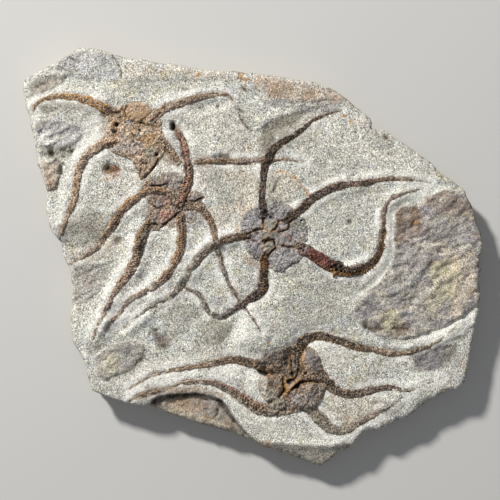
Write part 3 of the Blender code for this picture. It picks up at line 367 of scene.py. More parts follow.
# Tones of the stone, from bleached to stained, named after what they look like.
chalk, ivory, cream = (242, 240, 230), (228, 223, 210), (234, 216, 188)
straw, sand_tone, ash = (212, 203, 170), (208, 196, 176), (182, 178, 166)
dove, pewter, slate = (184, 182, 182), (160, 156, 153), (140, 136, 136)
peach, clay, ochre = (194, 170, 148), (166, 138, 112), (196, 142, 62)
drab, olive, umber = (156, 149, 134), (136, 131, 117), (106, 88, 70)
coal, soot, jet = (60, 55, 56), (64, 50, 38), (36, 30, 26)
rust, fawn = (146, 98, 54), (148, 126, 106)
# Ridges, grooves, cracks and threads: line, rise (negative sinks), half width and, if coloured, its colour
# and strength.
folds = [
    ([(-3, -26.8), (-6.9, -34.5), (-11.3, -42.2), (-16.8, -51)], -1.5, 4.2),
    ([(-27.2, -26.8), (-33.3, -37.8), (-39.9, -48.8)], -0.9, 4.5),
    ([(1.9, -101.1), (9.6, -102.4), (20.6, -103.3), (31.6, -103.8), (42.6, -104.1),
      (50.3, -102.2)], 0.9, 2.2),
    ([(-44.3, -83.5), (-34.4, -86.5), (-23.4, -90.1), (-12.4, -93.9), (-3.6, -97.8)], 0.9, 1.7),
    ([(65.2, -80.2), (70.1, -80.2), (76.7, -79.6)], -0.5, 0.7, *umber, 0.6),
    ([(-99.3, -12), (-93.8, -9.8), (-89.4, -7.6), (-83.9, -5.4), (-79.5, -3.7),
      (-75.1, -1.5)], -0.7, 0.45, *olive, 0.7),
    ([(-77.8, 111.8), (-75.1, 108.5), (-72.9, 104.6), (-72.1, 101.3), (-72.3, 98)], -0.7, 0.45, *umber, 0.9),
    ([(-56.1, 106.3), (-55.3, 104.1), (-54.2, 102.2)], -0.5, 0.4, *umber, 0.8),
    ([(-101.5, 111.2), (-98.2, 108.5), (-95.4, 106.8)], -0.9, 0.6, *soot, 0.9),
    ([(-109.2, 103.3), (-104.8, 103.3), (-100.9, 102.2), (-98.2, 99.7)], -0.7, 0.7, *olive, 0.6),
    ([(-19, -82.9), (-19.5, -86.8), (-21.7, -89), (-23.4, -90.6)], -0.7, 0.5, *soot, 0.8),
    ([(-65.7, -8.7), (-61.9, -11.4), (-58.6, -13.1)], -0.5, 0.5, *olive, 0.7),
    ([(-86.6, -26.8), (-90.5, -35.6), (-93.8, -44.4), (-94.9, -48.8)], 0.5, 2.6),
    ([(-56.4, -33.4), (-63, -37.8), (-69.6, -42.2), (-75.1, -46.6)], 0.6, 2.2),
    ([(-119.1, 69.4), (-114.7, 71.6), (-110.3, 72.2)], 0.7, 0.8),
    ([(-113.6, 66.1), (-109.2, 68.3), (-104.2, 70.5), (-99.8, 72.7)], 0.7, 0.9),
    ([(-115.8, 61.2), (-110.3, 63.4), (-105.9, 65.6)], 0.6, 0.8),
    ([(-114.7, 52.4), (-111.4, 52.9), (-107, 55.1), (-103.7, 57.9)], 0.9, 1),
    ([(-107.5, 48.5), (-105.9, 51.3), (-104.2, 53.5)], 0.8, 1),
    ([(97.6, -48.3), (105.9, -43.9), (113, -37.8), (116.3, -33.4)], 0.9, 2.2),
    ([(54.7, -59.8), (54.7, -69.7)], 0.3, 1.6),
    ([(-50.9, 15.5), (-48.1, 18.3), (-45.4, 20.5), (-41, 24.9)], -0.8, 0.5),
    ([(-13.5, 89.2), (-10.7, 86.5), (-9.1, 82.6), (-7.4, 78.2), (-5.8, 74.9), (-3, 71.4), (-0.3, 69.8),
      (3, 70.3), (6.3, 72.2), (8.5, 74.4)], 0.35, 0.5, *umber, 0.8),
    ([(11.8, 45.8), (13.5, 47.2), (17.3, 47.2), (20.6, 45.5), (23.9, 43.3), (26.1, 40.8), (28.3, 38.1),
      (30, 35.3), (32.2, 32.6)], 0.35, 0.6, *ochre, 0.9),
    ([(16.2, 45.2), (14, 41.9), (12.4, 38.6), (10.7, 35.3)], -0.5, 0.7, *umber, 0.75),
    ([(-6.3, 94.7), (-4.7, 93.1), (-3, 90.9)], -0.4, 0.6, *umber, 0.85),
    ([(-8, 82.1), (-6.3, 80.7), (-4.1, 79.6)], -0.6, 0.8, *soot, 0.9),
    # Painted shadow under the chip's upper wall.
    ([(-56.4, -80.2), (-52, -76.9), (-45.4, -76), (-37.7, -75.8), (-28.9, -75.2)], -0.5, 1, *jet, 0.8),
    ([(-63, -77.4), (-56.4, -76.3), (-50.9, -74.1)], -0.3, 0.6, *umber, 0.7),
    ([(15.7, -16.9), (23.4, -14.7), (31.6, -14.7), (38.2, -16.9)], 0.45, 1.6),
    ([(75.1, 29.3), (75.1, 19.4), (74.5, 9.5), (73.4, 0.7), (69.6, -7), (62.4, -13.6),
      (54.7, -21.3)], 0.5, 1.8),
    ([(-105.9, 51.3), (-105.3, 46.9), (-107, 42.5), (-108.1, 38.6)], -0.7, 0.6, *soot, 0.7),
    ([(-115.2, 52.9), (-112.5, 51.3), (-109.7, 51.8), (-107.5, 54.6)], -0.6, 0.5, *umber, 0.7),
    ([(-119.1, 67.8), (-114.7, 71.6), (-109.2, 73.3), (-103.7, 73.3),
      (-98.2, 71.1)], -0.6, 0.7, *slate, 0.6),
    ([(81.1, 10.6), (87.7, 17.2), (92.1, 26)], -0.5, 1),
    ([(61.3, -37.8), (66.8, -40.6), (72.3, -39.5)], -0.8, 1, *umber, 0.6),
    ([(76.7, -38.4), (82.2, -40.6), (86.6, -38.9)], -0.7, 1, *umber, 0.6),
    ([(92.1, -23.5), (100.9, -15.8), (109.7, -10.3), (118.5, -8.1)], 0.7, 2),
    ([(78.9, -23.5), (86.6, -15.8), (94.3, -5.9), (97.6, 2.9)], 0.7, 2),
    ([(54.7, -26.8), (56.9, -32.3), (61.3, -37.3)], 0.5, 1.4),
]
# Holes: x, y, radius, depth.
holes = [
    (-44, 73.2, 1.4, 2.6), (-43.8, 71.3, 1.4, 2.6), (-110.8, 57.1, 1.6, 2.2), (-99.6, 58.4, 0.9, 1.3),
    (-19, 82.9, 0.9, 1.3), (-6.3, 80.4, 0.7, 0.7), (-4.7, 92, 0.7, 0.6), (53.6, 19.4, 1, 0.8),
    (-74, 9.5, 1.4, 0.6), (73.4, 66.1, 1.1, 0.7), (-79.5, 49.1, 1.3, 0.9), (-76.7, 47.4, 1, 0.7),
    (-52, -45.5, 1.6, 0.8), (-49.2, -48.8, 1.2, 0.7), (-53.1, -40.6, 1.2, 0.5), (43.2, 88.1, 0.5, 0.5),
    (-20.6, 54.6, 1.2, 0.6), (-17.9, 55.4, 1, 0.6),
]
chip_wall = [
    (-56.9, -80.7), (-54.7, -78), (-50.9, -76.3), (-45.4, -75.8), (-39.9, -75.5), (-33.3, -74.7),
    (-26.7, -75.2), (-21.2, -76.6), (-16.8, -78.5), (-13.5, -82.4), (-11.3, -86.8), (-6.9, -92.3),
    (-3, -96.7), (-1.1, -99.7),
]
chip = chip_wall + [(-0.3, -107.1), (-28.9, -100.5), (-61.9, -89.5)]
rim = [
    (-1.4, -99.4), (5.2, -100.5), (15.1, -101.6), (26.1, -102.4), (37.1, -102.7), (45.4, -103), (52, -101.6),
]
rim_fall = rim + [(56.9, -112.6), (31.6, -123.6), (-1.4, -112.6)]


def fade_ends(place, start, end, start_left=0.0, end_left=0.0):
    """1 along a line and less towards its two ends, over a shorter way the larger start and end are."""
    return ease(place * start + start_left) * ease((1.0 - place) * end + end_left)


def with_streaks(x, y):
    """Places turned so that the first runs along the streaks of the stone."""
    return 0.9 * x + 0.43 * y, 0.9 * y - 0.43 * x


def relief(x, y, patches=(), folds=(), holes=()):
    """Lumps with a broken surface, ridges and grooves, and holes, added up; and the share of the lumps."""
    height = np.zeros(x.shape)
    lump = np.zeros(x.shape)
    wander = 1.5 * rough(x, y, 5.0, 11)
    along, across = with_streaks(x, y)
    grain = 1.2 * rough(along / 2.2, across, 2.8, 13, 4) + 0.5 * rough(x, y, 2.0, 17)
    for outline, rise, slope, tough in patches:
        share = ease((depth_in(outline, x, y) + 0.4 * min(slope, 2.0) * wander) / slope + 0.5)
        height += share * (rise + tough * grain)
        lump = np.maximum(lump, share * min(1.0, 0.15 + abs(rise)))
    for line, rise, half, *_ in folds:
        gap, _, place, _, _ = near(line, x, y, 14.0)
        fade = fade_ends(place, 7.0, 7.0)
        height += rise * fade * np.exp(-(np.abs(gap + 0.25 * wander * min(half, 1.0)) / half) ** 2)
    for hx, hy, radius, deep in holes:
        gap = np.hypot(x - hx, y - hy) * (1.0 + 0.5 * rough(x, y, 2.0, 23, 2))
        height -= deep * ease(1.6 - 1.6 * gap / (1.6 * radius))
    return height, lump


def along_arm(name, x, y, reach=16.0):
    """Distance past an arm's edge (negative under it), side of it, share of its length and half width."""
    course = courses[name]
    gap, side, place, _, _ = near(course, x, y, reach)
    half = np.interp(place, np.linspace(0.0, 1.0, len(course)), course[:, 2]) / 2.0
    return gap - half, side, place, half


def stone(x, y):
    """Height of the worked face, its shares of crust and chip, and how far past the rim, at places."""
    height = face_height + 0.28 * np.sin(x / 37.0 + 0.6) * np.cos(y / 29.0 - 0.4)
    height += 0.16 * np.sin((x + 1.4 * y) / 21.0)
    height += 0.8 * rough(x, y, 15.0, 3) + 0.5 * rough(x, y, 5.5, 5) + 0.2 * rough(x, y, 1.9, 7, 2)
    wander = 1.5 * rough(x, y, 5.0, 11)
    extra, crust = relief(x, y, patches, folds, holes)
    height += extra + relief(x, y, dips)[0]
    for name, (root, tip, left, right) in beds.items():
        beyond, side, place, half = along_arm(name, x, y, 24.0)
        rise = (root + (tip - root) * place) * fade_ends(place, 8.0, 5.0, 0.0, 0.25)
        past = np.maximum(beyond, 0.0) / np.where(side > 0.0, right, left)
        height += 1.2 * rise * np.exp(-past ** 2) * (0.8 + 0.9 * rough(x, y, 9.0, 19, 2))
        height -= 0.35 * np.minimum(1.0, half) * np.exp(-((beyond - 0.25) / 0.4) ** 2)
    for line, drop, before, after in steps:
        gap, side, place, _, _ = near(line, x, y, 30.0)
        fade = fade_ends(place, 6.0, 6.0)
        shift = side * gap + 0.4 * wander
        height -= drop * fade * np.exp(-np.abs(shift) / np.where(shift > 0.0, after, before))
    hollow = ease(np.where(inside(chip, x, y), near(chip_wall, x, y, 20.0)[0] + 0.25 * wander, 0.0) / 0.9)
    ledges = 0.35 * np.round((rough(x, y, 9.0, 29, 2) + 0.5) * 3.0)
    height -= hollow * (chip_depth + ledges - 0.6 * rough(x, y, 3.4, 31))
    falling = np.where(inside(rim_fall, x, y), near(rim, x, y, 20.0)[0], 0.0)
    height -= bevel_fall * falling
    return height, crust, hollow, falling


def linear(red, green, blue):
    """Colour as a paint chip gives it, 0 to 255, turned into light."""
    chip = np.array([red, green, blue]) / 255.0
    return np.where(chip < 0.04045, chip / 12.92, ((chip + 0.055) / 1.055) ** 2.4)


def paint(tint, share, red, green, blue, grit=None):
    """Lay a colour over rows of colours, share by share; grit is how coarse the surface looks there."""
    share = np.clip(share, 0.0, 1.0)[:, None]
    tint[:, :3] += (linear(red, green, blue) - tint[:, :3]) * share
    if grit is not None:
        tint[:, 3:] += (grit - tint[:, 3:]) * share


def spots(x, y, size, amount, seed):
    """Share of scattered blotches, amount of them from 0 to 1."""
    return ease((rough(x, y, size, seed, 2) + amount - 0.5) * 5.0)


def brush(tint, x, y, marks, soft=2.2):
    """Marks of stain, painted shade or painted highlight: an outline or round spots (x, y, radius), then
    red, green, blue, grit if any and strength.
    """
    for mark, *ink, share in marks:
        if len(mark[0]) == 3:
            gap = np.min([np.hypot(x - bx, y - by) / radius for bx, by, radius in mark], axis=0)
            mask = ease(1.5 - gap + 0.7 * rough(x, y, 1.5, 67))
        else:
            deep = depth_in(mark, x, y)
            mask = ease(deep / soft + 0.5 + min(1.6, 0.25 * deep.max()) * rough(x, y, 2.0 * soft, 71))
            mask *= 0.6 + 0.4 * spots(x, y, 2.0 * soft, 0.6, 73)
        paint(tint, mask * share, *ink)


def cloud(tint, x, y, clouds, mask=1.0):
    """Clouds of colour: size, length against width, amount, seed, strength and colour."""
    for size, length, amount, seed, share, tone in clouds:
        paint(tint, mask * spots(x / length, y, size, amount, seed) * share, *tone)


# Clean sand and its clouds, then those of the weathered crust and of the chip.
clean_sand = (212, 210, 200)
sand_clouds = [
    (34, 1, 0.5, 41, 0.5, (200, 198, 188)), (12, 1, 0.35, 43, 0.5, (188, 182, 170)),
    (8, 1, 0.25, 47, 0.5, (224, 224, 216)), (5, 1, 0.3, 48, 0.4, (188, 194, 200)),
    (5.5, 1, 0.25, 49, 0.45, (216, 208, 174)), (4.5, 1, 0.22, 50, 0.4, (198, 182, 172)),
]
crust_clouds = [
    (7, 1, 0.34, 59, 0.65, (132, 116, 98)), (1.6, 3, 0.36, 61, 0.8, (214, 206, 192)),
    (1.4, 2.5, 0.3, 63, 0.7, (104, 94, 88)), (3, 1, 0.24, 65, 0.5, (200, 188, 158)),
]
chip_clouds = [(9.0, 1.0, 0.45, 83, 0.7, (140, 112, 82)), (5.0, 1.0, 0.35, 85, 0.6, (176, 166, 150))]
# Marks: outline or round spots, then colour, grit if any and strength. First those of the clean stone:
# bleached places, painted highlight on slopes and rims that face the light, and painted shade on slopes and
# under steps that face away from it.
lit_shaded_and_bleached_bands = [
    ([(-37, 82), (-30, 84), (-21, 83), (-12, 84), (-8, 75), (-4, 69), (-8, 61), (-17, 57), (-27, 56),
      (-33, 60), (-35, 70)], *ivory, 0.85, 0.6),
    ([(-31, 89), (-22, 91), (-15, 91), (-9, 89), (-12, 84), (-17, 87), (-26, 86)], *chalk, 0.5, 0.6),
    ([(-128, 80), (-127, 86), (-120, 91), (-111, 94), (-104, 94), (-95, 93), (-86, 91), (-79, 86), (-84, 88),
      (-93, 89), (-103, 91), (-111, 90), (-118, 88), (-122, 83)], *chalk, 0.45, 0.85),
    ([(-118, 83), (-111, 86), (-103, 86), (-94, 85), (-86, 82), (-82, 78), (-89, 79), (-98, 81), (-108, 81),
      (-115, 79)], *drab, 0.85),
    ([(-82, 84), (-75, 86), (-68, 91), (-73, 95), (-84, 95), (-93, 93), (-84, 90)], *ivory, 0.5),
    ([(-73, 96), (-56, 96), (-34, 96), (-21, 96), (-29, 93), (-45, 92), (-62, 90), (-71, 91)], *ash, 0.7),
    ([(-90, 77), (-84, 78), (-81, 73), (-82, 67), (-86, 63), (-93, 59), (-96, 53), (-99, 45), (-103, 34),
      (-106, 23), (-108, 28), (-105, 40), (-101, 51), (-96, 62), (-93, 70)], *chalk, 0.5, 0.85),
    ([(-78, 58), (-70, 55), (-63, 45), (-61, 39), (-68, 34), (-77, 28), (-84, 31), (-85, 42),
      (-84, 51)], *ivory, 0.5),
    ([(-108, 12), (-101, 17), (-93, 18), (-82, 18), (-75, 22), (-77, 16), (-83, 9), (-90, 6), (-99, 6),
      (-106, 8)], *olive, 0.75),
    ([(-109, 16), (-103, 24), (-89, 25), (-75, 26), (-74, 19), (-84, 15), (-95, 14),
      (-105, 12)], *drab, 0.6),
    ([(-101, 5), (-90, 3), (-84, 6), (-75, 13), (-71, 9), (-73, 3), (-82, -2), (-92, -3),
      (-100, 0)], *sand_tone, 0.6),
    ([(3, 59), (4, 70), (10, 77), (21, 80), (37, 83), (33, 73), (26, 63), (15, 58),
      (7, 57)], *drab, 0.9, 0.8),
    ([(5, 66), (7, 73), (13, 77), (22, 79), (29, 81), (26, 75), (18, 71), (12, 66),
      (6, 61)], *olive, 0.9, 0.9),
    ([(5, 87), (17, 85), (32, 84), (45, 86), (51, 83), (43, 79), (29, 80), (17, 82), (9, 84)], *pewter, 0.8),
    ([(-1, 77), (5, 80), (17, 82), (26, 81), (18, 79), (10, 76), (3, 73)], *ivory, 0.6),
    ([(-30, 50), (-18, 50), (-5, 50), (4, 49), (3, 42), (-4, 37), (-13, 33), (-23, 34),
      (-29, 40)], *ash, 0.75),
    ([(-33, 48), (-30, 49), (-28, 41), (-26, 36), (-31, 37), (-33, 42)], *chalk, 0.5, 0.7),
    ([(-13, 47), (-5, 49), (2, 47), (3, 34), (-1, 27), (-7, 28), (-11, 37)], *sand_tone, 0.6),
    ([(-27, 28), (-17, 30), (-9, 26), (-13, 17), (-21, 16), (-26, 22)], *sand_tone, 0.6),
    ([(9, 47), (14, 49), (22, 45), (26, 38), (22, 31), (13, 30), (9, 37)], *sand_tone, 0.6),
    ([(7, 49), (11, 49), (14, 42), (11, 34), (7, 34)], *drab, 0.7),
    ([(26, 77), (43, 80), (61, 78), (66, 71), (77, 63), (92, 55), (101, 46), (92, 46), (70, 48), (43, 59),
      (24, 59)], *ivory, 0.5),
    ([(68, 72), (73, 70), (79, 63), (77, 55), (71, 56), (69, 63)], *ash, 0.7),
    ([(75, 31), (79, 34), (88, 35), (95, 37), (105, 40), (109, 38), (98, 34), (91, 31), (83, 28), (79, 26),
      (77, 15), (77, 4), (76, -4), (70, -13), (62, -19), (55, -25), (54, -21), (61, -15), (69, -6), (73, 4),
      (75, 17)], *chalk, 0.35, 0.9),
    ([(26, -6), (37, -10), (50, -15), (62, -13), (70, -6), (66, -15), (55, -21), (37, -18), (24, -16),
      (17, -10)], *ash, 0.6),
    ([(17, -21), (26, -19), (43, -18), (50, -24), (48, -33), (35, -39), (21, -38), (15, -30)], *ash, 0.6),
    ([(-9, -30), (-1, -25), (5, -27), (9, -35), (9, -44), (1, -51), (-8, -53),
      (-13, -49)], *chalk, 0.6, 0.85),
    ([(-28, -33), (-20, -33), (-10, -36), (-12, -43), (-20, -49), (-27, -47), (-29, -40)], *drab, 0.7),
    ([(-42, -24), (-32, -24), (-31, -31), (-38, -41), (-46, -49), (-51, -43), (-48, -33)], *ash, 0.7),
    ([(5, -14), (12, -16), (16, -24), (13, -38), (7, -35), (4, -24)], *ivory, 0.5),
    ([(26, -48), (36, -48), (48, -51), (54, -54), (51, -62), (43, -60), (34, -52)], *ivory, 0.6, 0.7),
    ([(-66, -70), (-51, -64), (-29, -61), (-12, -60), (2, -63), (9, -70), (5, -77), (-1, -74), (-9, -66),
      (-23, -64), (-40, -66), (-56, -70)], *chalk, 0.5, 0.85),
    ([(-84, -68), (-67, -60), (-51, -55), (-29, -53), (-17, -52), (-18, -57), (-34, -58), (-51, -61),
      (-65, -66), (-77, -72)], *ivory, 0.6, 0.7),
    ([(-56, -71), (-42, -71), (-27, -71), (-17, -75), (-13, -79), (-26, -75), (-40, -75), (-55, -76),
      (-63, -79), (-65, -75)], *clay, 0.7),
    ([(-11, -79), (-4, -82), (5, -88), (16, -92), (26, -96), (43, -102), (26, -101), (13, -99), (2, -95),
      (-7, -86)], *ivory, 0.6, 0.7),
    ([(39, -77), (48, -75), (65, -76), (77, -77), (68, -84), (57, -90), (47, -91),
      (40, -85)], *sand_tone, 0.65),
    ([(77, -65), (89, -63), (101, -63), (110, -66), (103, -72), (88, -74)], *chalk, 0.6, 0.7),
    ([(88, -42), (101, -39), (114, -31), (122, -30), (120, -40), (110, -47), (101, -48),
      (92, -50)], *chalk, 0.5, 0.8),
    ([(1, -101), (15, -102), (32, -103), (48, -102), (50, -104), (32, -105), (13, -104)], *chalk, 0.4, 0.9),
    ([(-74, -3), (-66, -3), (-71, -14), (-78, -25), (-84, -36), (-88, -46), (-90, -44), (-86, -30),
      (-81, -17)], *chalk, 0.5, 0.8),
    ([(-57, -3), (-48, -3), (-52, -10), (-62, -15), (-56, -7)], *chalk, 0.6, 0.6),
    ([(-106, -16), (-93, -14), (-88, -21), (-93, -36), (-95, -48), (-100, -38)], *ivory, 0.6),
]
# Then the colours of the crusts, rust and other stains, with a few patches of painted shade and shadow.
stain_and_shade_bands = [
    ([(-70, 107), (-56, 106), (-37, 104), (-15, 102), (-8, 97), (-34, 98), (-56, 98),
      (-71, 97)], *sand_tone, 0.6),
    ([(-1, 101), (5, 100), (18, 99), (32, 95), (45, 92), (51, 87), (45, 85), (36, 87), (26, 86), (18, 87),
      (10, 89), (4, 93), (0, 96)], *peach, 0.8),
    ([(6, 93), (13, 95), (22, 94), (26, 90), (18, 88), (11, 90)], *clay, 0.6),
    ([(28, 93), (33, 94), (34, 88), (29, 88)], *clay, 0.5),
    ([(-114, 107), (-98, 114), (-79, 112), (-73, 105), (-74, 97), (-88, 99), (-100, 100),
      (-111, 103)], *dove, 0.7),
    ([(-108, 107), (-101, 110), (-97, 105), (-99, 101), (-106, 102)], *pewter, 0.4),
    # This band and the next are painted shade below the step at the top-left corner.
    ([(-119, 94), (-114, 98), (-107, 100), (-105, 98), (-111, 95), (-116, 90), (-119, 90)], *umber, 0.45),
    ([(-123, 95), (-117, 99), (-108, 101), (-105, 97), (-112, 92), (-120, 90)], *drab, 0.7),
    ([(-103, 3), (-86, 7), (-82, -3), (-88, -10), (-99, -15), (-101, -5)], *ash, 0.4),
    ([(-99, -4), (-85, -4), (-81, -6), (-88, -11), (-97, -13)], *pewter, 0.55),
    ([(-120, 74), (-106, 77), (-95, 72), (-94, 66), (-100, 61), (-114, 60), (-119, 64)], *dove, 0.85),
    ([(-117, 72), (-110, 74), (-105, 73), (-108, 70), (-115, 68)], *slate, 0.4),
    ([(-108, 68), (-99, 69), (-97, 66), (-105, 62)], *ivory, 0.4),
    ([(-117, 61), (-107, 60), (-98, 61), (-99, 56), (-108, 53), (-116, 56)], *olive, 0.7),
    ([(-87, -53), (-79, -48), (-62, -46), (-58, -50), (-62, -59), (-73, -65), (-85, -68)], *ash, 0.7),
    ([(-87, -52), (-81, -50), (-77, -55), (-82, -63), (-86, -64)], *ivory, 0.4),
    ([(-74, -48), (-62, -47), (-60, -53), (-67, -60), (-73, -55)], *pewter, 0.5),
    ([(-82, -55), (-74, -53), (-72, -59), (-77, -64), (-82, -63)], *straw, 0.6),
    ([(-74, -63), (-64, -59), (-61, -52), (-59, -52), (-62, -61), (-71, -66)], *olive, 0.5),
    ([(-55, -39), (-51, -41), (-46, -46), (-48, -51), (-51, -50), (-55, -44)], *umber, 0.75),
    ([(-82, 51), (-77, 52), (-73, 49), (-73, 45), (-77, 44), (-82, 46)], *rust, 0.9),
    ([(-81, 51), (-78, 51), (-77, 48), (-79, 46)], *umber, 0.85),
    ([(-71, 50), (-65, 49), (-65, 46), (-70, 47)], *drab, 0.5),
    ([(-52, 67), (-48, 61), (-43, 55), (-45, 49), (-50, 51), (-52, 58)], *clay, 0.7),
    ([(-115, 53), (-110, 52), (-106, 51), (-107, 44), (-110, 38), (-114, 39), (-115, 46)], *sand_tone, 0.6),
    ([(-115, 46), (-109, 47), (-107, 42), (-110, 38), (-114, 39)], *clay, 0.7),
    ([(-115, 50), (-111, 51), (-108, 48), (-110, 44), (-114, 45)], *peach, 0.6),
    ([(88, -51), (103, -48), (112, -49), (110, -55), (102, -62), (91, -63), (88, -58)], *slate, 0.85),
    ([(106, -51), (112, -49), (112, -54), (108, -59), (103, -61)], *olive, 0.5),
    ([(72, -81), (81, -80), (92, -80), (91, -87), (81, -90), (73, -88)], *pewter, 0.6),
    ([(98, -3), (108, 0), (116, -4), (115, -13), (106, -27), (99, -32), (94, -27), (99, -17)], *straw, 0.85),
    ([(103, 6), (120, 3), (122, -18), (115, -32), (106, -33), (110, -19), (110, -7)], *cream, 0.55),
    ([(69, -30), (79, -28), (83, -35), (79, -42), (71, -40)], *straw, 0.7),
    ([(80, 27), (89, 28), (94, 24), (92, 14), (86, 9), (80, 9), (79, 19)], *fawn, 0.85),
    ([(81, 28), (86, 29), (83, 23), (81, 13), (79, 9), (79, 20)], *umber, 0.5),
    ([(94, 33), (105, 36), (116, 33), (121, 24), (110, 22), (100, 25)], *fawn, 0.55),
    ([(98, 22), (112, 20), (120, 12), (109, 6), (98, 9)], *pewter, 0.6),
    ([(81, 4), (94, 7), (98, -3), (89, -18), (79, -22), (72, -18), (78, -6)], *pewter, 0.7),
    ([(57, -27), (66, -22), (72, -24), (69, -32), (62, -36)], *slate, 0.7),
    ([(60, -36), (68, -35), (73, -39), (70, -42), (62, -40)], *umber, 0.7),
    ([(77, -36), (86, -36), (88, -40), (82, -42), (78, -41)], *umber, 0.6),
    ([(-46, -77), (-34, -76), (-26, -77), (-27, -84), (-34, -87), (-43, -86)], *peach, 0.8),
    ([(-26, -77), (-18, -80), (-17, -86), (-23, -88), (-27, -84)], *pewter, 0.7),
    ([(-23, -88), (-12, -90), (-6, -96), (-11, -98), (-21, -93)], *olive, 0.7),
    ([(-19, 57), (-13, 57), (-12, 52), (-17, 51), (-20, 53)], *umber, 0.8),
    ([(-32, 55), (-23, 56), (-22, 51), (-31, 49)], *peach, 0.7),
    ([(-62, 44), (-55, 45), (-48, 47), (-38, 47), (-39, 37), (-48, 34), (-56, 35), (-61, 38)], *drab, 0.6),
    ([(-37, 27), (-26, 28), (-26, 20), (-31, 16), (-37, 18)], *pewter, 0.7),
    ([(-51, 54), (-46, 52), (-43, 47), (-45, 44), (-50, 46), (-53, 50)], *ivory, 0.8),
    ([(-120, 70), (-114, 72), (-108, 69), (-106, 65), (-110, 61), (-118, 62)], *chalk, 0.6),
    ([(-110, 73), (-104, 74), (-103, 72), (-108, 71)], *drab, 0.5),
    ([(-77, 62), (-66, 61), (-66, 53), (-73, 55), (-79, 58)], *ash, 0.7),
    ([(-84, 77), (-78, 77), (-79, 66), (-84, 64)], *sand_tone, 0.7),
    # Painted shadow beside the lower edge of the centre star's disc.
    ([(18, 6), (31, 4), (26, -3), (17, -8), (14, -9), (15, -3)], *slate, 0.7),
    ([(-8, 14), (-7, 19), (-4, 25), (1, 28), (-1, 29), (-6, 26), (-9, 19)], *cream, 0.8),
    ([(-10, 12), (-9, 17), (-7, 19), (-7, 15)], *ochre, 0.6),
    ([(-7, 4), (-1, 1), (4, -3), (3, -7), (-4, -3)], *peach, 0.7),
    ([(-6.9, 99.7, 1.7), (-3.6, 98, 1.3), (-30, 100.2, 1.2), (50.3, 77.7, 1), (54.2, 74.4, 1)], *ochre, 0.8),
    ([(-49.2, 100.8, 2.2)], *straw, 0.6),
    ([(89.4, 18.8, 1.1), (8, -102.7, 2.1), (-80, 43, 1), (9.1, -47.2, 0.8)], *ochre, 0.75),
    ([(115.8, -59.3, 1.7), (52.5, -89.5, 1.6), (33.3, -9.2, 0.8)], *peach, 0.7),
    ([(73.4, 66.1, 1.6), (-74, 9.5, 2.2)], *umber, 0.6),
    ([(53.6, 19.4, 1.2), (91, -1.5, 1), (71.8, 4, 0.8)], *olive, 0.6),
]
# Last painted shadow on the walls of the chip and painted highlight on pale strips along the slab's lower
# edge.
chip_shadow_and_rim_highlight = [
    ([(-56.4, -80.7), (-54.7, -78), (-50.9, -76.3), (-45.4, -75.8), (-33.3, -74.7), (-26.7, -75.2),
      (-25.6, -76.9), (-33.3, -76.9), (-44.3, -78.2), (-50.9, -80.2), (-54.2, -81.8)], *jet, 0.5, 0.9),
    ([(-21.2, -76.9), (-16.8, -78.5), (-13.5, -82.4), (-11.3, -86.8), (-6.9, -92.3), (-3, -96.7),
      (-1.4, -99.4), (-5.2, -97.2), (-10.2, -91.7), (-14, -87.3), (-17.3, -82.9),
      (-20.1, -79.6)], *jet, 0.5, 0.85),
    ([(-41, -84.6), (-21.2, -90.1), (-1.4, -98.3), (-2.5, -100.5), (-22.3, -92.8),
      (-41, -87.3)], *sand_tone, 0.6, 0.8),
    ([(-55.3, -81.8), (-42.1, -85.1), (-28.9, -89.5), (-30, -91.7), (-45.4, -87.3),
      (-56.4, -83.5)], *sand_tone, 0.6, 0.7),
]


def stain_and_shade_colours(x, y, crust, hollow, falling):
    """Colours of the face: clean sand, weathered crust, rust, bleached places, and painted shade and
    highlight.
    """
    tint = np.tile([*linear(*clean_sand), 1.0], (len(x), 1))
    cloud(tint, x, y, sand_clouds)
    # Beside the arms the stone is palest: partly freshly scraped, partly painted highlight of the lit banks.
    # Just outside each arm's edge it is painted darker.
    for name in arms:
        beyond = along_arm(name, x, y)[0] + 0.8 * rough(x, y, 6.0, 75)
        scraped_and_lit = 0.8 * ease(1.5 - np.abs(beyond - 1.8) / 1.7) * spots(x, y, 10.0, 0.7, 73)
        paint(tint, scraped_and_lit, 242, 240, 232, 0.45)
        edge_darkening = 0.8 * ease(1.0 - beyond / 0.9) * spots(x, y, 4.0, 0.6, 79)
        paint(tint, edge_darkening, 138, 116, 94)
    brush(tint, x, y, lit_shaded_and_bleached_bands)
    # The weathered crusts are lilac-grey, browner at the edges and cream where they are rubbed.
    along, across = with_streaks(x, y)
    paint(tint, crust * 0.75, 176, 168, 160, 0.8)
    paint(tint, crust * spots(along / 2.5, across, 4.0, 0.55, 53) * 0.6, 150, 144, 148)
    cloud(tint, x, y, crust_clouds, crust)
    paint(tint, 0.8 * hollow, 158, 146, 130, 0.7)
    cloud(tint, x, y, chip_clouds, hollow)
    brush(tint, x, y, stain_and_shade_bands)
    for line, _, half, *ink in folds:
        if ink:
            gap, _, place, _, _ = near(line, x, y, 6.0)
            fade = fade_ends(place, 9.0, 9.0, 0.2, 0.2)
            fade *= 0.5 + 0.8 * spots(x, y, 2.0, 0.5, 69)
            paint(tint, fade * ink[3] * 1.3 * np.exp(-(gap / (0.9 * half)) ** 2), *ink[:3])
    # Painted shade in the holes, darker the deeper they are.
    for hx, hy, radius, deep in holes:
        mask = ease(1.7 - np.hypot(x - hx, y - hy) / (0.85 * radius))
        paint(tint, mask * min(1.0, 0.45 * deep + 0.15), 62, 50, 40)
    paint(tint, ease(falling / 1.5) * 0.75, 166, 158, 144, 0.8)
    brush(tint, x, y, chip_shadow_and_rim_highlight, 1.2)
    return tint


def new_mesh():
    """Empty mesh whose points carry a colour."""
    bm = bmesh.new()
    bm.verts.layers.float_color.new("tint")
    return bm


def spread(verts):
    """Places of points as three arrays."""
    return np.array([vert.co for vert in verts]).reshape(-1, 3).T.copy()


def colour(bm, verts, tint):
    """Give points their rows of colour."""
    layer = bm.verts.layers.float_color["tint"]
    for vert, row in zip(verts, tint):
        vert[layer] = row


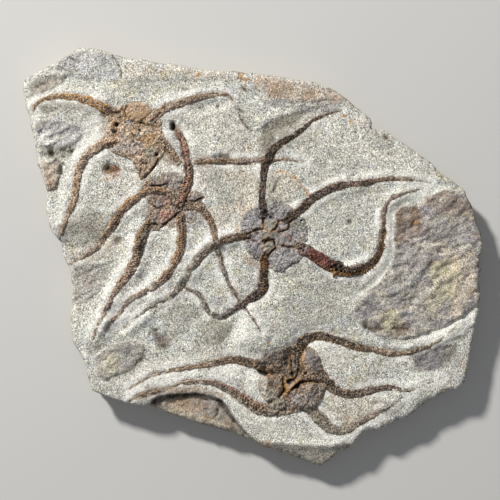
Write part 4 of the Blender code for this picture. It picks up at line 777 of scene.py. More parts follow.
def as_piece(name, bm, material, node):
    """Finished mesh, modelled in millimetres, as the piece that stands for its CAD node."""
    bmesh.ops.recalc_face_normals(bm, faces=bm.faces)
    mesh = bpy.data.meshes.new(name)
    bm.to_mesh(mesh)
    bm.free()
    mesh.transform(Matrix.Scale(0.001, 4))
    mesh.materials.append(material)
    mesh.shade_smooth()
    piece = bpy.data.objects.new(name, mesh)
    bpy.context.collection.objects.link(piece)
    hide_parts(node)
    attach(piece, "root")


def grow(bm, ring):
    """Faces hung on a ring of open edges. Gives their new points and the new open edges."""
    grown = bmesh.ops.extrude_edge_only(bm, edges=ring)["geom"]
    verts = [item for item in grown if isinstance(item, bmesh.types.BMVert)]
    return verts, [item for item in grown if isinstance(item, bmesh.types.BMEdge) and item.is_boundary]


def cut_sheet(bm, outline, pitch, wander):
    """Fine flat grid cut to an outline, its rim pulled on to the line and up to wander inside it.
    Gives the rim's points, their places on the line and their directions inwards."""
    low = np.array(outline).min(0)
    high = np.array(outline).max(0)
    size = high - low
    bmesh.ops.create_grid(
        bm, x_segments=round(size[0] / pitch), y_segments=round(size[1] / pitch), size=0.5,
        matrix=Matrix.Translation((*(low + high) / 2.0, 0.0)) @ Matrix.Diagonal((*size, 1.0, 1.0)))
    middle = np.array([face.calc_center_median() for face in bm.faces])
    away = depth_in(outline, middle[:, 0], middle[:, 1], 2.0) < 0.1
    bmesh.ops.delete(bm, geom=[face for face, out in zip(bm.faces, away) if out], context="FACES")
    while pinched := [v for v in bm.verts if sum(e.is_boundary for e in v.link_edges) > 2]:
        bmesh.ops.delete(bm, geom=pinched, context="VERTS")
    rim_points = [vert for vert in bm.verts if vert.is_boundary]
    x, y, _ = spread(rim_points)
    fx, fy = near(outline, x, y, 4.0, True)[3:]
    inward = np.column_stack([depth_in(outline, fx + 0.4, fy) - depth_in(outline, fx - 0.4, fy),
                              depth_in(outline, fx, fy + 0.4) - depth_in(outline, fx, fy - 0.4)])
    inward /= np.maximum(np.hypot(*inward.T), 0.01)[:, None]
    inset = 0.1 + wander * np.clip(rough(fx, fy, 7.0, 89) + 0.25, 0.0, 1.0)
    for vert, ex, ey, (nx, ny), deep in zip(rim_points, fx, fy, inward, inset):
        vert.co.x = ex + nx * deep
        vert.co.y = ey + ny * deep
    x, y, _ = spread(bm.verts)
    margin = depth_in(outline, x, y, 4.0)
    loose = [vert for vert, deep in zip(bm.verts, margin) if deep < 4.0 * pitch and not vert.is_boundary]
    bmesh.ops.smooth_vert(bm, verts=loose, factor=0.5, use_axis_x=True, use_axis_y=True)
    return rim_points, np.column_stack([fx, fy]), inward


# Tones of the mineral that the animals turned to, besides those of the stone.
char, lead, mauve, lilac = (76, 66, 58), (108, 102, 104), (138, 118, 114), (176, 166, 168)
tan, buff = (178, 146, 112), (204, 174, 144)
moss, rose, wine = (150, 145, 130), (206, 142, 126), (106, 40, 40)
# The skin of each disc: outline, thickness, roughness, colour, colour of its ridges and mottling of (colour,
# size, amount, seed). Lumps, folds and holes are as in the stone. Marks are of place, colour, grit if any
# and strength: mostly the mineral's own colours, and on the centre star one painted shadow.
discs = {}
discs["nw_star"] = dict(
    outline=[
        (-83.9, 81), (-80.6, 81.8), (-75.6, 81.5), (-73.4, 83.2), (-69.6, 84.6), (-66.3, 85.4),
        (-61.9, 85.9), (-58.6, 84.8), (-55.8, 82.9), (-53.1, 81.5), (-50.9, 78.2), (-50.3, 74.4),
        (-49.8, 70), (-49.2, 66.1), (-47.6, 62.8), (-48.1, 59), (-49.8, 55.7), (-50.9, 52.9), (-52, 50.7),
        (-54.2, 48), (-56.4, 45.2), (-59.1, 43.6), (-60.8, 41.4), (-63, 44.1), (-64.1, 47.4), (-65.7, 50.7),
        (-66.8, 53.5), (-70.1, 54.6), (-72.9, 55.7), (-76.7, 57.3), (-78.9, 59), (-81.7, 60.6),
        (-82.8, 63.9), (-81.7, 67.2), (-80, 70), (-80, 74.4), (-80.6, 76.6), (-83.3, 77.7),
    ],
    rise=0.4, tough=0.9, color=tan, ridge=ochre,
    mottle=[(cream, 2.2, 0.42, 171), (umber, 1.7, 0.4, 173), (dove, 2.8, 0.3, 179), (ochre, 2, 0.24, 177)],
    lumps=[
        ([(-69, 84.3), (-63, 85.9), (-58, 84.8), (-55.8, 81.5), (-57.5, 77.1), (-63, 74.9), (-68.5, 76),
          (-69.6, 79.9)], 0.8, 1.6, 0.15),
        ([(-65.2, 54.6), (-59.7, 55.7), (-56.4, 52.4), (-55.3, 48), (-58.6, 44.7), (-61.3, 43.6),
          (-63.5, 48)], 0.4, 1.4, 0.7),
        ([(-78.4, 61.7), (-72.9, 62.3), (-68.5, 59), (-70.7, 55.7), (-76.2, 57.9)], 0.35, 1, 0.4),
    ],
    folds=[
        ([(-69, 84.3), (-70.4, 80.4), (-69.3, 76.6)], -0.4, 0.45),
        ([(-71.8, 79.3), (-75.6, 76), (-77.8, 71.6)], 0.5, 0.9),
        ([(-52, 53.5), (-53.1, 50.7), (-54.7, 48), (-57.5, 45.8), (-60.2, 43.6)], -1.1, 0.7),
        ([(-62.4, 62.3), (-61.3, 59.5), (-59.7, 56.8)], -0.4, 0.35),
        ([(-49.2, 81), (-53.1, 78.2), (-56.9, 74.9), (-60.2, 71.6)], 0.5, 0.7),
        ([(-81.7, 62.6), (-77.3, 63.7), (-72.3, 63.9)], 0.5, 0.8),
        ([(-83.3, 79.9), (-78.4, 79.6), (-72.9, 79.9)], -0.5, 0.6),
        ([(-61.9, 74.4), (-58.6, 72.7)], -0.5, 0.7), ([(-67.4, 69.4), (-65.2, 66.7)], -0.4, 0.4),
    ],
    holes=[
        (-74.8, 73.1, 1, 1.7), (-76.2, 69.4, 1.2, 0.5), (-52.8, 56.6, 0.9, 1.6), (-65.5, 63.7, 0.45, 0.5),
        (-64.9, 61.7, 0.45, 0.5), (-56.9, 72.7, 0.7, 0.4), (-62.2, 70, 0.6, 0.5),
    ],
    marks=[
        ([(-69, 84.5), (-63, 86), (-58, 85), (-56, 81.5), (-57.5, 77), (-63, 75), (-68.5, 76),
          (-69.5, 80)], *tan, 0.4, 0.9),
        ([(-67.5, 83), (-63.5, 84.5), (-61, 83), (-62.5, 80.5), (-66.5, 79.5)], *peach, 0.8),
        ([(-59.5, 84.5), (-55.5, 82.5), (-55.5, 78), (-58, 79.5)], *umber, 0.65),
        ([(-84, 81), (-77.5, 81.5), (-70.5, 82.5), (-69.5, 79.5), (-73, 77), (-79.5, 77)], *umber, 0.75),
        ([(-78, 75), (-74.5, 75.5), (-73, 68), (-74.5, 66), (-78, 69)], *rust, 0.85),
        ([(-75.5, 68.5), (-73.5, 68.5), (-73.5, 66), (-76, 66)], *rust, 0.6),
        ([(-81.5, 76.5), (-78.5, 76.5), (-79.5, 66.5), (-81.5, 66.5)], *buff, 0.7),
        ([(-70.5, 75), (-67.5, 75), (-68, 71.5), (-70.5, 72)], *pewter, 0.8),
        ([(-79, 63.5), (-72, 65), (-64.5, 64), (-62, 59), (-65.5, 57), (-73.5, 57.5),
          (-78, 59.5)], *lilac, 0.8),
        ([(-65, 69), (-61.5, 69), (-61, 66), (-64.5, 65.5)], *moss, 0.8),
        ([(-70, 68), (-67, 68), (-67.5, 64.5), (-72.5, 64.5)], *pewter, 0.7),
        ([(-63, 75), (-58.5, 75), (-58, 71.5), (-61.5, 71.5)], *umber, 0.8),
        ([(-60, 68.5), (-53, 69), (-52.5, 63), (-58.5, 61.5), (-61.5, 64.5)], *ochre, 0.75),
        ([(-56.5, 75), (-50.5, 75.5), (-50, 68), (-55.5, 69)], *rust, 0.5),
        ([(-60, 72), (-56.5, 73.5), (-57, 68.5), (-60, 67)], *cream, 0.7),
        ([(-83.5, 64), (-77.5, 64.5), (-72, 64.5), (-72, 63), (-78.5, 62.5), (-83.5, 60.5)], *rust, 0.7),
        ([(-66.5, 64), (-59.5, 63.5), (-60, 60), (-65, 60)], *lilac, 0.8),
        ([(-65.5, 59), (-61, 59), (-61.5, 56), (-65, 57)], *lilac, 0.8),
        ([(-78.5, 61), (-73, 61.5), (-72.5, 58.5), (-76.5, 58)], *pewter, 0.8),
        ([(-70.5, 58), (-67.5, 58), (-67.5, 55), (-70.5, 55.5)], *peach, 0.6),
        ([(-59.5, 60), (-53, 60.5), (-52, 55.5), (-55.5, 51.5), (-59, 51.5)], *moss, 0.6, 0.85),
        ([(-65, 54.5), (-59.5, 55), (-55.5, 51.5), (-56, 47), (-59.5, 44), (-63, 47.5)], *clay, 0.75),
        ([(-54.5, 52), (-52.5, 52.5), (-53, 49), (-55.5, 47.5)], *ochre, 0.85),
        ([(-53.5, 54.5), (-51, 54.5), (-51.5, 52.5), (-53.5, 53)], *ochre, 0.7),
    ],
)
discs["w_star"] = dict(
    outline=[
        (-60.2, 41.9), (-56.9, 43.6), (-52, 43.6), (-48.1, 46.1), (-44.3, 46.6), (-39.3, 46.3),
        (-38.2, 42.5), (-36.6, 39.2), (-34.4, 36.7), (-30.5, 37), (-27.8, 35.1), (-25.6, 32.9),
        (-27.8, 30.9), (-25.6, 28.2), (-27.8, 24.9), (-30.5, 23.8), (-30.5, 20.5), (-34.4, 18.3),
        (-36.6, 19.4), (-37.7, 22.1), (-38.8, 19.9), (-41, 18.3), (-41.5, 15.5), (-44.8, 15.5),
        (-47.6, 17.2), (-51.4, 15), (-54.7, 13.9), (-56.9, 14.4), (-58.6, 18.3), (-59.1, 22.1), (-58, 26),
        (-56.9, 28.2), (-58, 30.9), (-59.1, 33.1), (-60.2, 35.9), (-61.3, 39.2),
    ],
    rise=0.25, tough=1.0, color=fawn, ridge=tan,
    mottle=[(peach, 2.4, 0.36, 181), (umber, 1.8, 0.36, 191), (lilac, 2.6, 0.32, 193), (ochre, 2, 0.2, 195)],
    lumps=[
        ([(-56.4, 24.9), (-50.9, 26.5), (-45.4, 26), (-42.1, 22.7), (-46.5, 19.4), (-52, 18.3),
          (-57.5, 19.4)], 0.5, 1.4, 0.2),
        ([(-34.9, 32), (-31.1, 35.9), (-27.2, 34.2), (-29.4, 31.5), (-33.3, 30.7)], 0.4, 0.7, 0.2),
    ],
    folds=[
        ([(-50.9, 15.5), (-49.2, 17.2), (-46.5, 19.9), (-43.2, 22.1)], -0.8, 0.5),
        ([(-44.3, 28.7), (-41.5, 28.2), (-39.9, 30.4)], -0.5, 0.5),
        ([(-43.2, 22.1), (-41.5, 23.8), (-39.9, 24.9)], -0.8, 0.6),
        ([(-34.9, 30.4), (-31.6, 30.9), (-27.2, 33.1)], -0.7, 0.5),
        ([(-56.4, 29.8), (-52.5, 27.1), (-49.2, 28.2)], -0.4, 0.5),
        ([(-55.3, 39.2), (-50.9, 39.2), (-47, 40.8)], -0.5, 0.6),
        ([(-56.4, 36.4), (-52, 37), (-48.7, 35.3), (-45.4, 31.5)], 0.4, 0.7),
    ],
    holes=[
        (-40.4, 27.1, 0.8, 0.8), (-54.2, 18.3, 0.7, 0.8), (-52.5, 18, 0.6, 0.6), (-57.8, 16.1, 0.6, 0.8),
        (-49.2, 18.3, 0.5, 0.4), (-36.6, 30.9, 0.6, 0.5), (-38.8, 26, 0.5, 0.5),
    ],
    marks=[
        ([(-49, 46), (-40, 46.5), (-39.5, 38), (-45.5, 37.5), (-48.5, 40.5)], *pewter, 0.7, 0.9),
        ([(-56.5, 43), (-47, 43), (-46.5, 38), (-54, 38)], *lead, 0.7),
        ([(-60, 41.5), (-56.5, 42.5), (-56, 37), (-59.5, 36)], *clay, 0.7),
        ([(-46.5, 37.5), (-41, 38), (-41, 32.5), (-45.5, 32.5)], *olive, 0.6),
        ([(-58, 25.5), (-52, 26.5), (-51, 19.5), (-57.5, 18.5)], *mauve, 0.8),
        ([(-51.5, 25.5), (-45.5, 26), (-41.5, 23), (-44.5, 19.5), (-51, 20)], *rose, 0.75),
        ([(-51.5, 22), (-46.5, 22.5), (-45.5, 20.5), (-50.5, 20)], *wine, 0.3),
        ([(-46, 20), (-41, 20.5), (-41, 15.5), (-45.5, 15.5)], *ivory, 0.6),
        ([(-53.5, 31), (-48.5, 31.5), (-49, 27.5), (-53, 26.5)], *pewter, 0.8),
        ([(-57, 30.5), (-54.5, 30), (-55.5, 26.5), (-57.5, 27)], *ochre, 0.7),
        ([(-50, 33), (-45.5, 33), (-45.5, 28), (-48.5, 28)], *rose, 0.7),
        ([(-43, 34), (-39.5, 35), (-40, 28), (-43, 28)], *char, 0.8),
        ([(-35.5, 32), (-31, 36.5), (-27, 35), (-26, 33), (-30, 32), (-33.5, 30.5)], *lead, 0.5, 0.85),
        ([(-34.5, 32), (-31, 34), (-30, 32.5), (-33.5, 31)], *pewter, 0.8),
        ([(-34.5, 30.5), (-28, 30.5), (-26, 27), (-29, 24.5), (-34.5, 26)], *clay, 0.6),
        ([(-36.5, 25.5), (-31, 25.5), (-31.5, 20), (-36, 19.5)], *dove, 0.8),
        ([(-33.5, 22.5), (-29.5, 24), (-30, 19), (-34, 19)], *drab, 0.7),
        ([(-44.5, 31.5), (-41, 31), (-40.5, 26), (-44.5, 26)], *umber, 0.6),
    ],
)
discs["centre_star"] = dict(
    outline=[
        (-6.9, 14.4), (-6.6, 19.4), (-4.1, 24.3), (-0.8, 26.8), (3, 28.2), (6.3, 28.2), (9.6, 28.2),
        (11.8, 29.6), (14.6, 30.4), (18.4, 29.8), (21.2, 28.2), (23.4, 26), (23.9, 22.1), (28.3, 21.9),
        (30, 18.3), (30.5, 12.8), (30.8, 8.9), (27.8, 6.2), (28.3, 2.9), (28.9, 0.7), (25, -2.6),
        (20.6, -5.4), (17.3, -7.6), (14.6, -8.7), (11.8, -7.6), (9.6, -5.9), (7.4, -4.8), (5.2, -2.6),
        (2.5, -1.5), (-0.3, -0.4), (-2.5, 2.3), (-4.1, 6.2), (-4.7, 8.9), (-6.9, 11.1),
    ],
    rise=0.42, tough=0.9, color=pewter, ridge=ochre,
    mottle=[(dove, 1.9, 0.42, 197), (lead, 1.7, 0.38, 199), (drab, 3.4, 0.26, 211)],
    lumps=[
        ([(6.3, 19.4), (8.5, 21), (11.8, 21), (12.9, 15.5), (10.2, 13.9), (6.3, 15.5)], 0.35, 0.6, 0.1),
        ([(14.6, 19.4), (19, 19.9), (19.5, 15.5), (15.7, 14.4)], 0.3, 0.5, 0.1),
        ([(15.7, 12.8), (19.5, 12.8), (21.7, 9.5), (22.3, 6.7), (18.4, 5.6), (15.1, 7.3)], 0.3, 0.5, 0.1),
        ([(8, 8.9), (11.3, 9.5), (12.4, 5.6), (10.2, 2.9), (8, 0.7), (6.3, 4)], 0.35, 0.5, 0.1),
        ([(1.9, 11.7), (5.2, 13.3), (8.5, 12.8), (9.6, 11.1), (6.3, 9.5), (3, 10)], 0.35, 0.5, 0.1),
        ([(9.6, -1.5), (14, 2.9), (18.4, 5.1), (23.9, 4.5), (27.8, 2.9), (23.9, -2.1), (18.4, -5.9),
          (14.6, -7.6)], 0.5, 1.2, 0.1),
    ],
    folds=[
        ([(5.8, 19.9), (6.1, 15.5), (2.5, 15.5), (-1.4, 13.3), (-5.2, 11.7)], -0.8, 0.5),
        ([(10.2, 14.4), (12.4, 15.5), (13.5, 17.7), (14.6, 19.9), (19, 21), (22.3, 22.7)], -0.8, 0.45),
        ([(14, 13.9), (16.8, 14.4), (19.5, 15.3), (20.1, 18.8), (21.7, 20.5)], -0.7, 0.45),
        ([(5.2, 8.7), (7.4, 9.5), (9.6, 11.4)], -0.7, 0.45),
        ([(6.3, 7.3), (8, 8.9), (10.2, 10), (11.8, 9.5), (12.7, 5.1), (10.2, 2.9), (7.4, -0.1)], -0.8, 0.45),
        ([(16.8, 12.8), (20.1, 12.2), (21.7, 9.5), (23.4, 6.7)], 0.3, 0.5),
        ([(15.7, 6.7), (19.5, 5.6), (23.9, 5.6), (26.1, 7.8)], -0.4, 0.5),
        ([(6.3, 7.3), (6.3, 4), (6.6, 0.7)], 0.3, 0.5), ([(2.5, 8.4), (-1.4, 10), (-4.7, 10.6)], -0.5, 0.5),
        ([(5.8, 0.1), (5.2, -3.2), (6.9, -5.9), (9.6, -6.5)], -0.6, 0.6),
    ],
    holes=[
        (5.8, 0.1, 0.8, 0.7), (5.2, 23.8, 0.9, 0.6), (7.4, 24.9, 0.7, 0.5), (10.2, 22.1, 0.8, 0.5),
        (5.8, 21, 0.9, 0.7),
    ],
    marks=[
        ([(11.5, 30), (15, 30.5), (19.5, 29.5), (23, 26), (18.5, 22), (13, 21.5),
          (9.5, 24.5)], *slate, 0.75),
        ([(20.5, 20.5), (28.5, 21.5), (30, 14.5), (21.5, 14)], *drab, 0.7),
        ([(-2.5, 3), (2, 4), (4, -1), (-0.5, -1)], *mauve, 0.6),
        ([(10, -1.5), (15, 3), (20.5, 4.5), (25, 4.5), (28, 2.5), (20.5, -2.5),
          (14.5, -6)], *pewter, 0.7, 0.8),
        # Painted shadow along the lower edge of the south-east flap.
        ([(15, -7.5), (20.5, -3.5), (26, 0.5), (29, 3.5), (29.5, 0.5), (21.5, -5.5),
          (15.5, -9)], *lead, 0.6, 0.85),
        ([(4, 28), (8.5, 28), (8.5, 21), (5, 20)], *soot, 0.8),
        ([(8.5, 24), (12, 24.5), (12.5, 21), (9, 21)], *char, 0.7),
        ([(-7, 13.5), (-0.5, 14.5), (5, 15.5), (6.5, 14), (2, 12), (-3.5, 10), (-7, 10)], *char, 0.8),
        ([(6.5, 19.5), (8.5, 21), (12, 21), (13, 15.5), (10, 14), (6.5, 15.5)], *moss, 0.3, 0.9),
        ([(14.5, 19.5), (19, 20), (19.5, 15.5), (15.5, 14.5)], *lilac, 0.3, 0.9),
        ([(15.5, 12), (19.5, 11.5), (21, 9), (20.5, 7.5), (15.5, 8)], *slate, 0.3, 0.9),
        ([(8, 9), (11.5, 9.5), (12.5, 5.5), (10, 3), (8, 0.5), (7, 4)], *moss, 0.3, 0.9),
        ([(2, 11.5), (5, 13.5), (8.5, 13), (9, 11), (5, 10)], *moss, 0.3, 0.9),
        ([(9, 15), (13.5, 15.5), (15, 13), (14, 10), (10, 10.5), (8.5, 13)], *olive, 0.2, 0.9),
        ([(6.5, 15.5), (9.5, 15.5), (9.5, 13.5), (7, 13.5)], *ochre, 0.8),
        ([(11.5, 20.5), (13.5, 20.5), (13, 18.5), (11.5, 19)], *ochre, 0.8),
        ([(5, 20), (6.5, 20), (7, 15.5), (6, 15.5)], *ochre, 0.8),
        ([(17, 13.5), (20, 13), (23, 8), (22.5, 6), (20.5, 9.5), (18, 11.5)], *rust, 0.8),
        ([(15.5, 8), (20.5, 7.5), (20, 5), (15.5, 6)], *rust, 0.7),
        ([(6, 8), (7, 8), (7, 0.5), (6, 0.5)], *ochre, 0.8),
        ([(3, -2), (9.5, -2), (10, -6), (4, -6)], *rust, 0.85),
    ],
)
discs["south_star"] = dict(
    outline=[
        (0.8, -58.7), (3.6, -56.5), (6.3, -53.5), (10.7, -51), (16.2, -49.6), (21.7, -48.5), (24.5, -46.6),
        (27.8, -47.7), (32.2, -49.6), (35.5, -52.1), (37.4, -56.5), (38.8, -60.9), (41.5, -64.2),
        (42.6, -67.5), (41, -70.8), (40.2, -74.7), (37.7, -79.1), (34.9, -82.9), (30, -85.1), (25, -85.1),
        (20.6, -86.2), (16.8, -87.3), (12.9, -87.9), (8.5, -85.7), (5.8, -81.8), (7.4, -79.6), (4.7, -76.9),
        (3, -71.9), (3.6, -67.5), (4.7, -65.3), (2.5, -63.1),
    ],
    rise=0.55, tough=0.9, color=umber, ridge=ochre,
    mottle=[(tan, 2, 0.3, 223), (soot, 1.8, 0.4, 227), (mauve, 2.6, 0.34, 229), (ochre, 2, 0.12, 231)],
    lumps=[
        ([(4.1, -57.6), (6.3, -53.8), (10.7, -51), (17.3, -49.4), (21.7, -51), (20.6, -56.5), (19, -62),
          (13.5, -64.2), (6.3, -64.2)], 0.2, 1.4, 0.4),
        ([(28.3, -52.1), (33.3, -51), (36.6, -54.9), (38.2, -62), (33.3, -64.2),
          (29.4, -59.8)], 0.55, 1, 0.05),
        ([(5.8, -67), (9.6, -64.8), (15.1, -66.4), (16.8, -71.9), (14, -77.4), (9.6, -78.5),
          (6.3, -74.1)], 0.6, 3.4, 0.7),
        ([(21.2, -73.6), (26.1, -70.8), (34.9, -69.2), (39.3, -70.8), (38.2, -77.4), (33.8, -82.4),
          (26.1, -83.5), (21.7, -79.6)], 0.8, 2.6, 0.4),
    ],
    folds=[
        ([(21.5, -57.1), (21.7, -61.5), (22.3, -65.3)], -1, 0.55),
        ([(26.4, -49.9), (26.4, -54.9), (25.9, -59.8), (24.5, -65.3), (22.3, -67.5), (19, -68.1)], -1, 0.5),
        ([(16.5, -65.9), (16.8, -69.7), (17.3, -73), (15.7, -76.3), (13.5, -80.2)], -1.1, 0.6),
        ([(26.1, -69.2), (31.1, -68.1), (36, -68.9), (40.4, -69.2)], -0.9, 0.5),
        ([(21.2, -73), (23.9, -70.8), (27.8, -68.6)], -1.1, 0.7),
        ([(26.1, -66.4), (23.4, -69.7), (20.6, -72.5), (18.4, -75.2)], 0.9, 0.8),
        ([(27.8, -53.8), (27.5, -59.3), (27.8, -65.3)], 0.5, 0.7),
        ([(3, -63.1), (7.4, -64.2), (12.9, -63.7)], -0.7, 0.6),
        ([(20.1, -52.1), (20.6, -56.5), (19.5, -60.9)], 0.4, 0.6),
        ([(29.4, -64.2), (28.3, -67.5)], -0.7, 0.5),
    ],
    holes=[
        (20.1, -68.6, 1.2, 1.1), (24.5, -71.1, 1.3, 1.2), (27.8, -68.6, 0.8, 0.9), (31.6, -68.1, 0.7, 0.7),
        (12.9, -79.6, 0.6, 0.6), (22, -64.2, 0.9, 0.8), (9.6, -59.3, 0.8, 0.4),
    ],
    marks=[
        ([(2, -57.5), (6.5, -54), (10.5, -51), (17.5, -49.5), (21.5, -51), (20.5, -56.5), (19, -62),
          (13.5, -64), (6.5, -65), (3, -62.5)], *coal, 0.6, 1),
        ([(7.5, -56.5), (17.5, -54.5), (18.5, -61.5), (10.5, -63)], *char, 0.6),
        ([(4, -57), (7, -54), (10.5, -51), (17, -49.5), (17.5, -50.5), (11.5, -52.5), (7.5, -55.5),
          (5, -58)], *pewter, 0.7),
        ([(20, -51), (26, -49.5), (26, -61), (20.5, -61)], *rust, 0.75),
        ([(27, -53), (29.5, -52), (33.5, -60), (37, -64), (32.5, -67.5), (28, -66.5)], *tan, 0.8),
        ([(29.5, -51.5), (34, -51), (37, -55.5), (37.5, -62.5), (33.5, -63),
          (29.5, -57.5)], *slate, 0.3, 0.9),
        ([(31, -55.5), (35.5, -55.5), (36, -61.5), (32, -61)], *lead, 0.5, 0.6),
        ([(5, -67), (9.5, -65.5), (15, -66.5), (16, -71), (13, -73.5), (6.5, -72.5)], *fawn, 0.65, 0.85),
        ([(8, -68), (12, -67.5), (13, -71.5), (9, -72.5)], *char, 0.75),
        ([(5, -72.5), (14, -73), (14, -77.5), (9.5, -79.5), (6, -77)], *ash, 0.7, 0.8),
        ([(3.5, -65.5), (7, -63.5), (8.5, -67.5), (7.5, -74), (8.5, -79), (4, -77.5)], *ivory, 0.6, 0.9),
        ([(18.5, -67), (25.5, -65.5), (26.5, -67.5), (22.5, -72), (18.5, -75),
          (17.5, -72)], *peach, 0.5, 0.85),
        ([(17.5, -69.5), (19.5, -69.5), (19.5, -74), (17.5, -74)], *ochre, 0.7),
        ([(20, -60), (21.5, -60), (21.5, -62.5), (20, -62.5)], *straw, 0.8),
        ([(17.5, -74), (21, -74), (20.5, -79.5), (16, -79.5)], *rust, 0.8),
        ([(20.5, -74), (26, -71), (34, -69.5), (31.5, -73.5), (25, -77)], *peach, 0.9),
        ([(24, -76.5), (32.5, -73.5), (34, -81.5), (26, -83.5)], *pewter, 0.85),
        ([(32.5, -71), (40, -71), (39, -77), (34, -81.5)], *lead, 0.9),
        ([(6.5, -79.5), (16, -77.5), (20.5, -80.5), (18.5, -86), (9.5, -86)], *olive, 0.8),
        ([(20.5, -76), (25, -75), (26.5, -79.5), (21.5, -82.5)], *dove, 0.75),
    ],
)


def skin_share(star, x, y):
    """Share of a disc's skin, feathered and ragged at its edge."""
    inward = depth_in(discs[star]["outline"], x, y)
    return ease((inward + 1.5 * rough(x, y, 2.0, 137) + 1.0 * rough(x, y, 5.0, 135)) / 1.5 + 0.6)


slab = new_mesh()
foot = slab.verts.layers.float_vector.new("foot")
lean = slab.verts.layers.float_vector.new("lean")
# The broken edge line wanders a little inwards of the outline.
for vert, (fx, fy), (nx, ny) in zip(*cut_sheet(slab, slab_edge, pitch=0.75, wander=0.7)):
    vert[foot] = (fx, fy, 0.0)
    vert[lean] = (nx, ny, 0.0)
x, y, _ = spread(slab.verts)
margin = depth_in(slab_edge, x, y, 6.0)
height, crust, hollow, falling = stone(x, y)
# The stone is let down a little under the skins that lie on it.
disc_seat, arm_seat = 2.0, 0.35
for star in discs:
    under = depth_in(discs[star]["outline"], x, y)
    height -= disc_seat * skin_share(star, x, y) ** 2 * ease((under - 0.3) / 0.8)
for name in arms:
    beyond, _, _, half = along_arm(name, x, y, 8.0)
    height -= arm_seat * ease(-(beyond + 0.25 * half) / 0.5)
# The upper edge is bruised, in places more than in others.
chips = 1.0 + 2.2 * np.clip(rough(x, y, 8.0, 97), 0.0, 1.0)
height -= 0.9 * (1.0 - ease(margin / (1.6 * chips))) * chips
for vert, z in zip(slab.verts, height):
    vert.co.z = z
tint = stain_and_shade_colours(x, y, crust, hollow, falling)
paint(tint, 0.5 * (1.0 - ease(margin / 1.6)), 160, 150, 136)
colour(slab, slab.verts, tint)
# Broken side: share of the height, inset and bed number of each ring from the rim to the foot.
wall = [
    (0.06, 0.1, 0), (0.13, 0, 0), (0.2, 0.15, 0), (0.27, 0.1, 0), (0.3, 0.9, 1), (0.335, 0.55, 2),
    (0.42, 0.3, 2), (0.5, 0.35, 2), (0.58, 0.3, 2), (0.615, 1.1, 3), (0.65, 0.8, 4), (0.74, 0.6, 4),
    (0.83, 0.9, 4), (0.92, 1.5, 4), (1, 2.4, 4),
]
ring = [edge for edge in slab.edges if edge.is_boundary]
rim_height = {tuple(vert[foot].xy): vert.co.z for vert in slab.verts if vert.is_boundary}
for share, cut, bed in wall:
    fresh, ring = grow(slab, ring)
    fx, fy = np.array([vert[foot].xy for vert in fresh]).T
    ragged = cut + 1.5 * np.clip(rough(fx + 40.0 * bed, fy, 10.0, 101 + bed) + 0.3, 0.0, 1.0)
    ragged += 0.5 * np.clip(rough(fx, fy + 9.0 * share, 2.5, 107, 2) + 0.3, 0.0, 1.0)
    wave = 0.06 * rough(fx, fy, 26.0, 109) * math.sin(math.pi * share)
    for vert, deep, bend in zip(fresh, ragged, wave):
        top = rim_height[tuple(vert[foot].xy)]
        vert.co = vert[foot] + vert[lean] * float(deep)
        vert.co.z = top * (1.0 - share - bend) if share < 1.0 else 0.0
    x, y, z = spread(fresh)
    side = np.tile([*linear(186, 178, 162), 1.0], (len(x), 1))
    paint(side, spots(x + y, 6.0 * z, 22.0, 0.5, 113) * 0.6, 160, 145, 124)
    paint(side, spots(x - y, 3.0 * z, 9.0, 0.4, 127) * 0.5, 198, 190, 174)
    paint(side, spots(x, y + z, 14.0, 0.25, 131) * 0.5, 168, 132, 94)
    colour(slab, fresh, side)
# The foot's line is eased, so that it doesn't run back over itself, and closed with one flat face.
for _ in range(4):
    bmesh.ops.smooth_vert(slab, verts=fresh, factor=0.5, use_axis_x=True, use_axis_y=True)
underside = bmesh.ops.holes_fill(slab, edges=ring, sides=0)["faces"]
bmesh.ops.triangulate(slab, faces=underside)
for layer in ("lean", "foot"):
    slab.verts.layers.float_vector.remove(slab.verts.layers.float_vector[layer])


class Wire:
    """A socket in a material; arithmetic on it adds Math nodes."""

    def __init__(self, finish, socket):
        self.finish = finish
        self.socket = socket

    def math(self, operation, *values):
        return self.finish.node("ShaderNodeMath", {"operation": operation}, values)

    def __add__(self, other):
        return self.math("ADD", self, other)

    def __sub__(self, other):
        return self.math("SUBTRACT", self, other)

    def __mul__(self, other):
        return self.math("MULTIPLY", self, other)

    __radd__ = __add__
    __rmul__ = __mul__


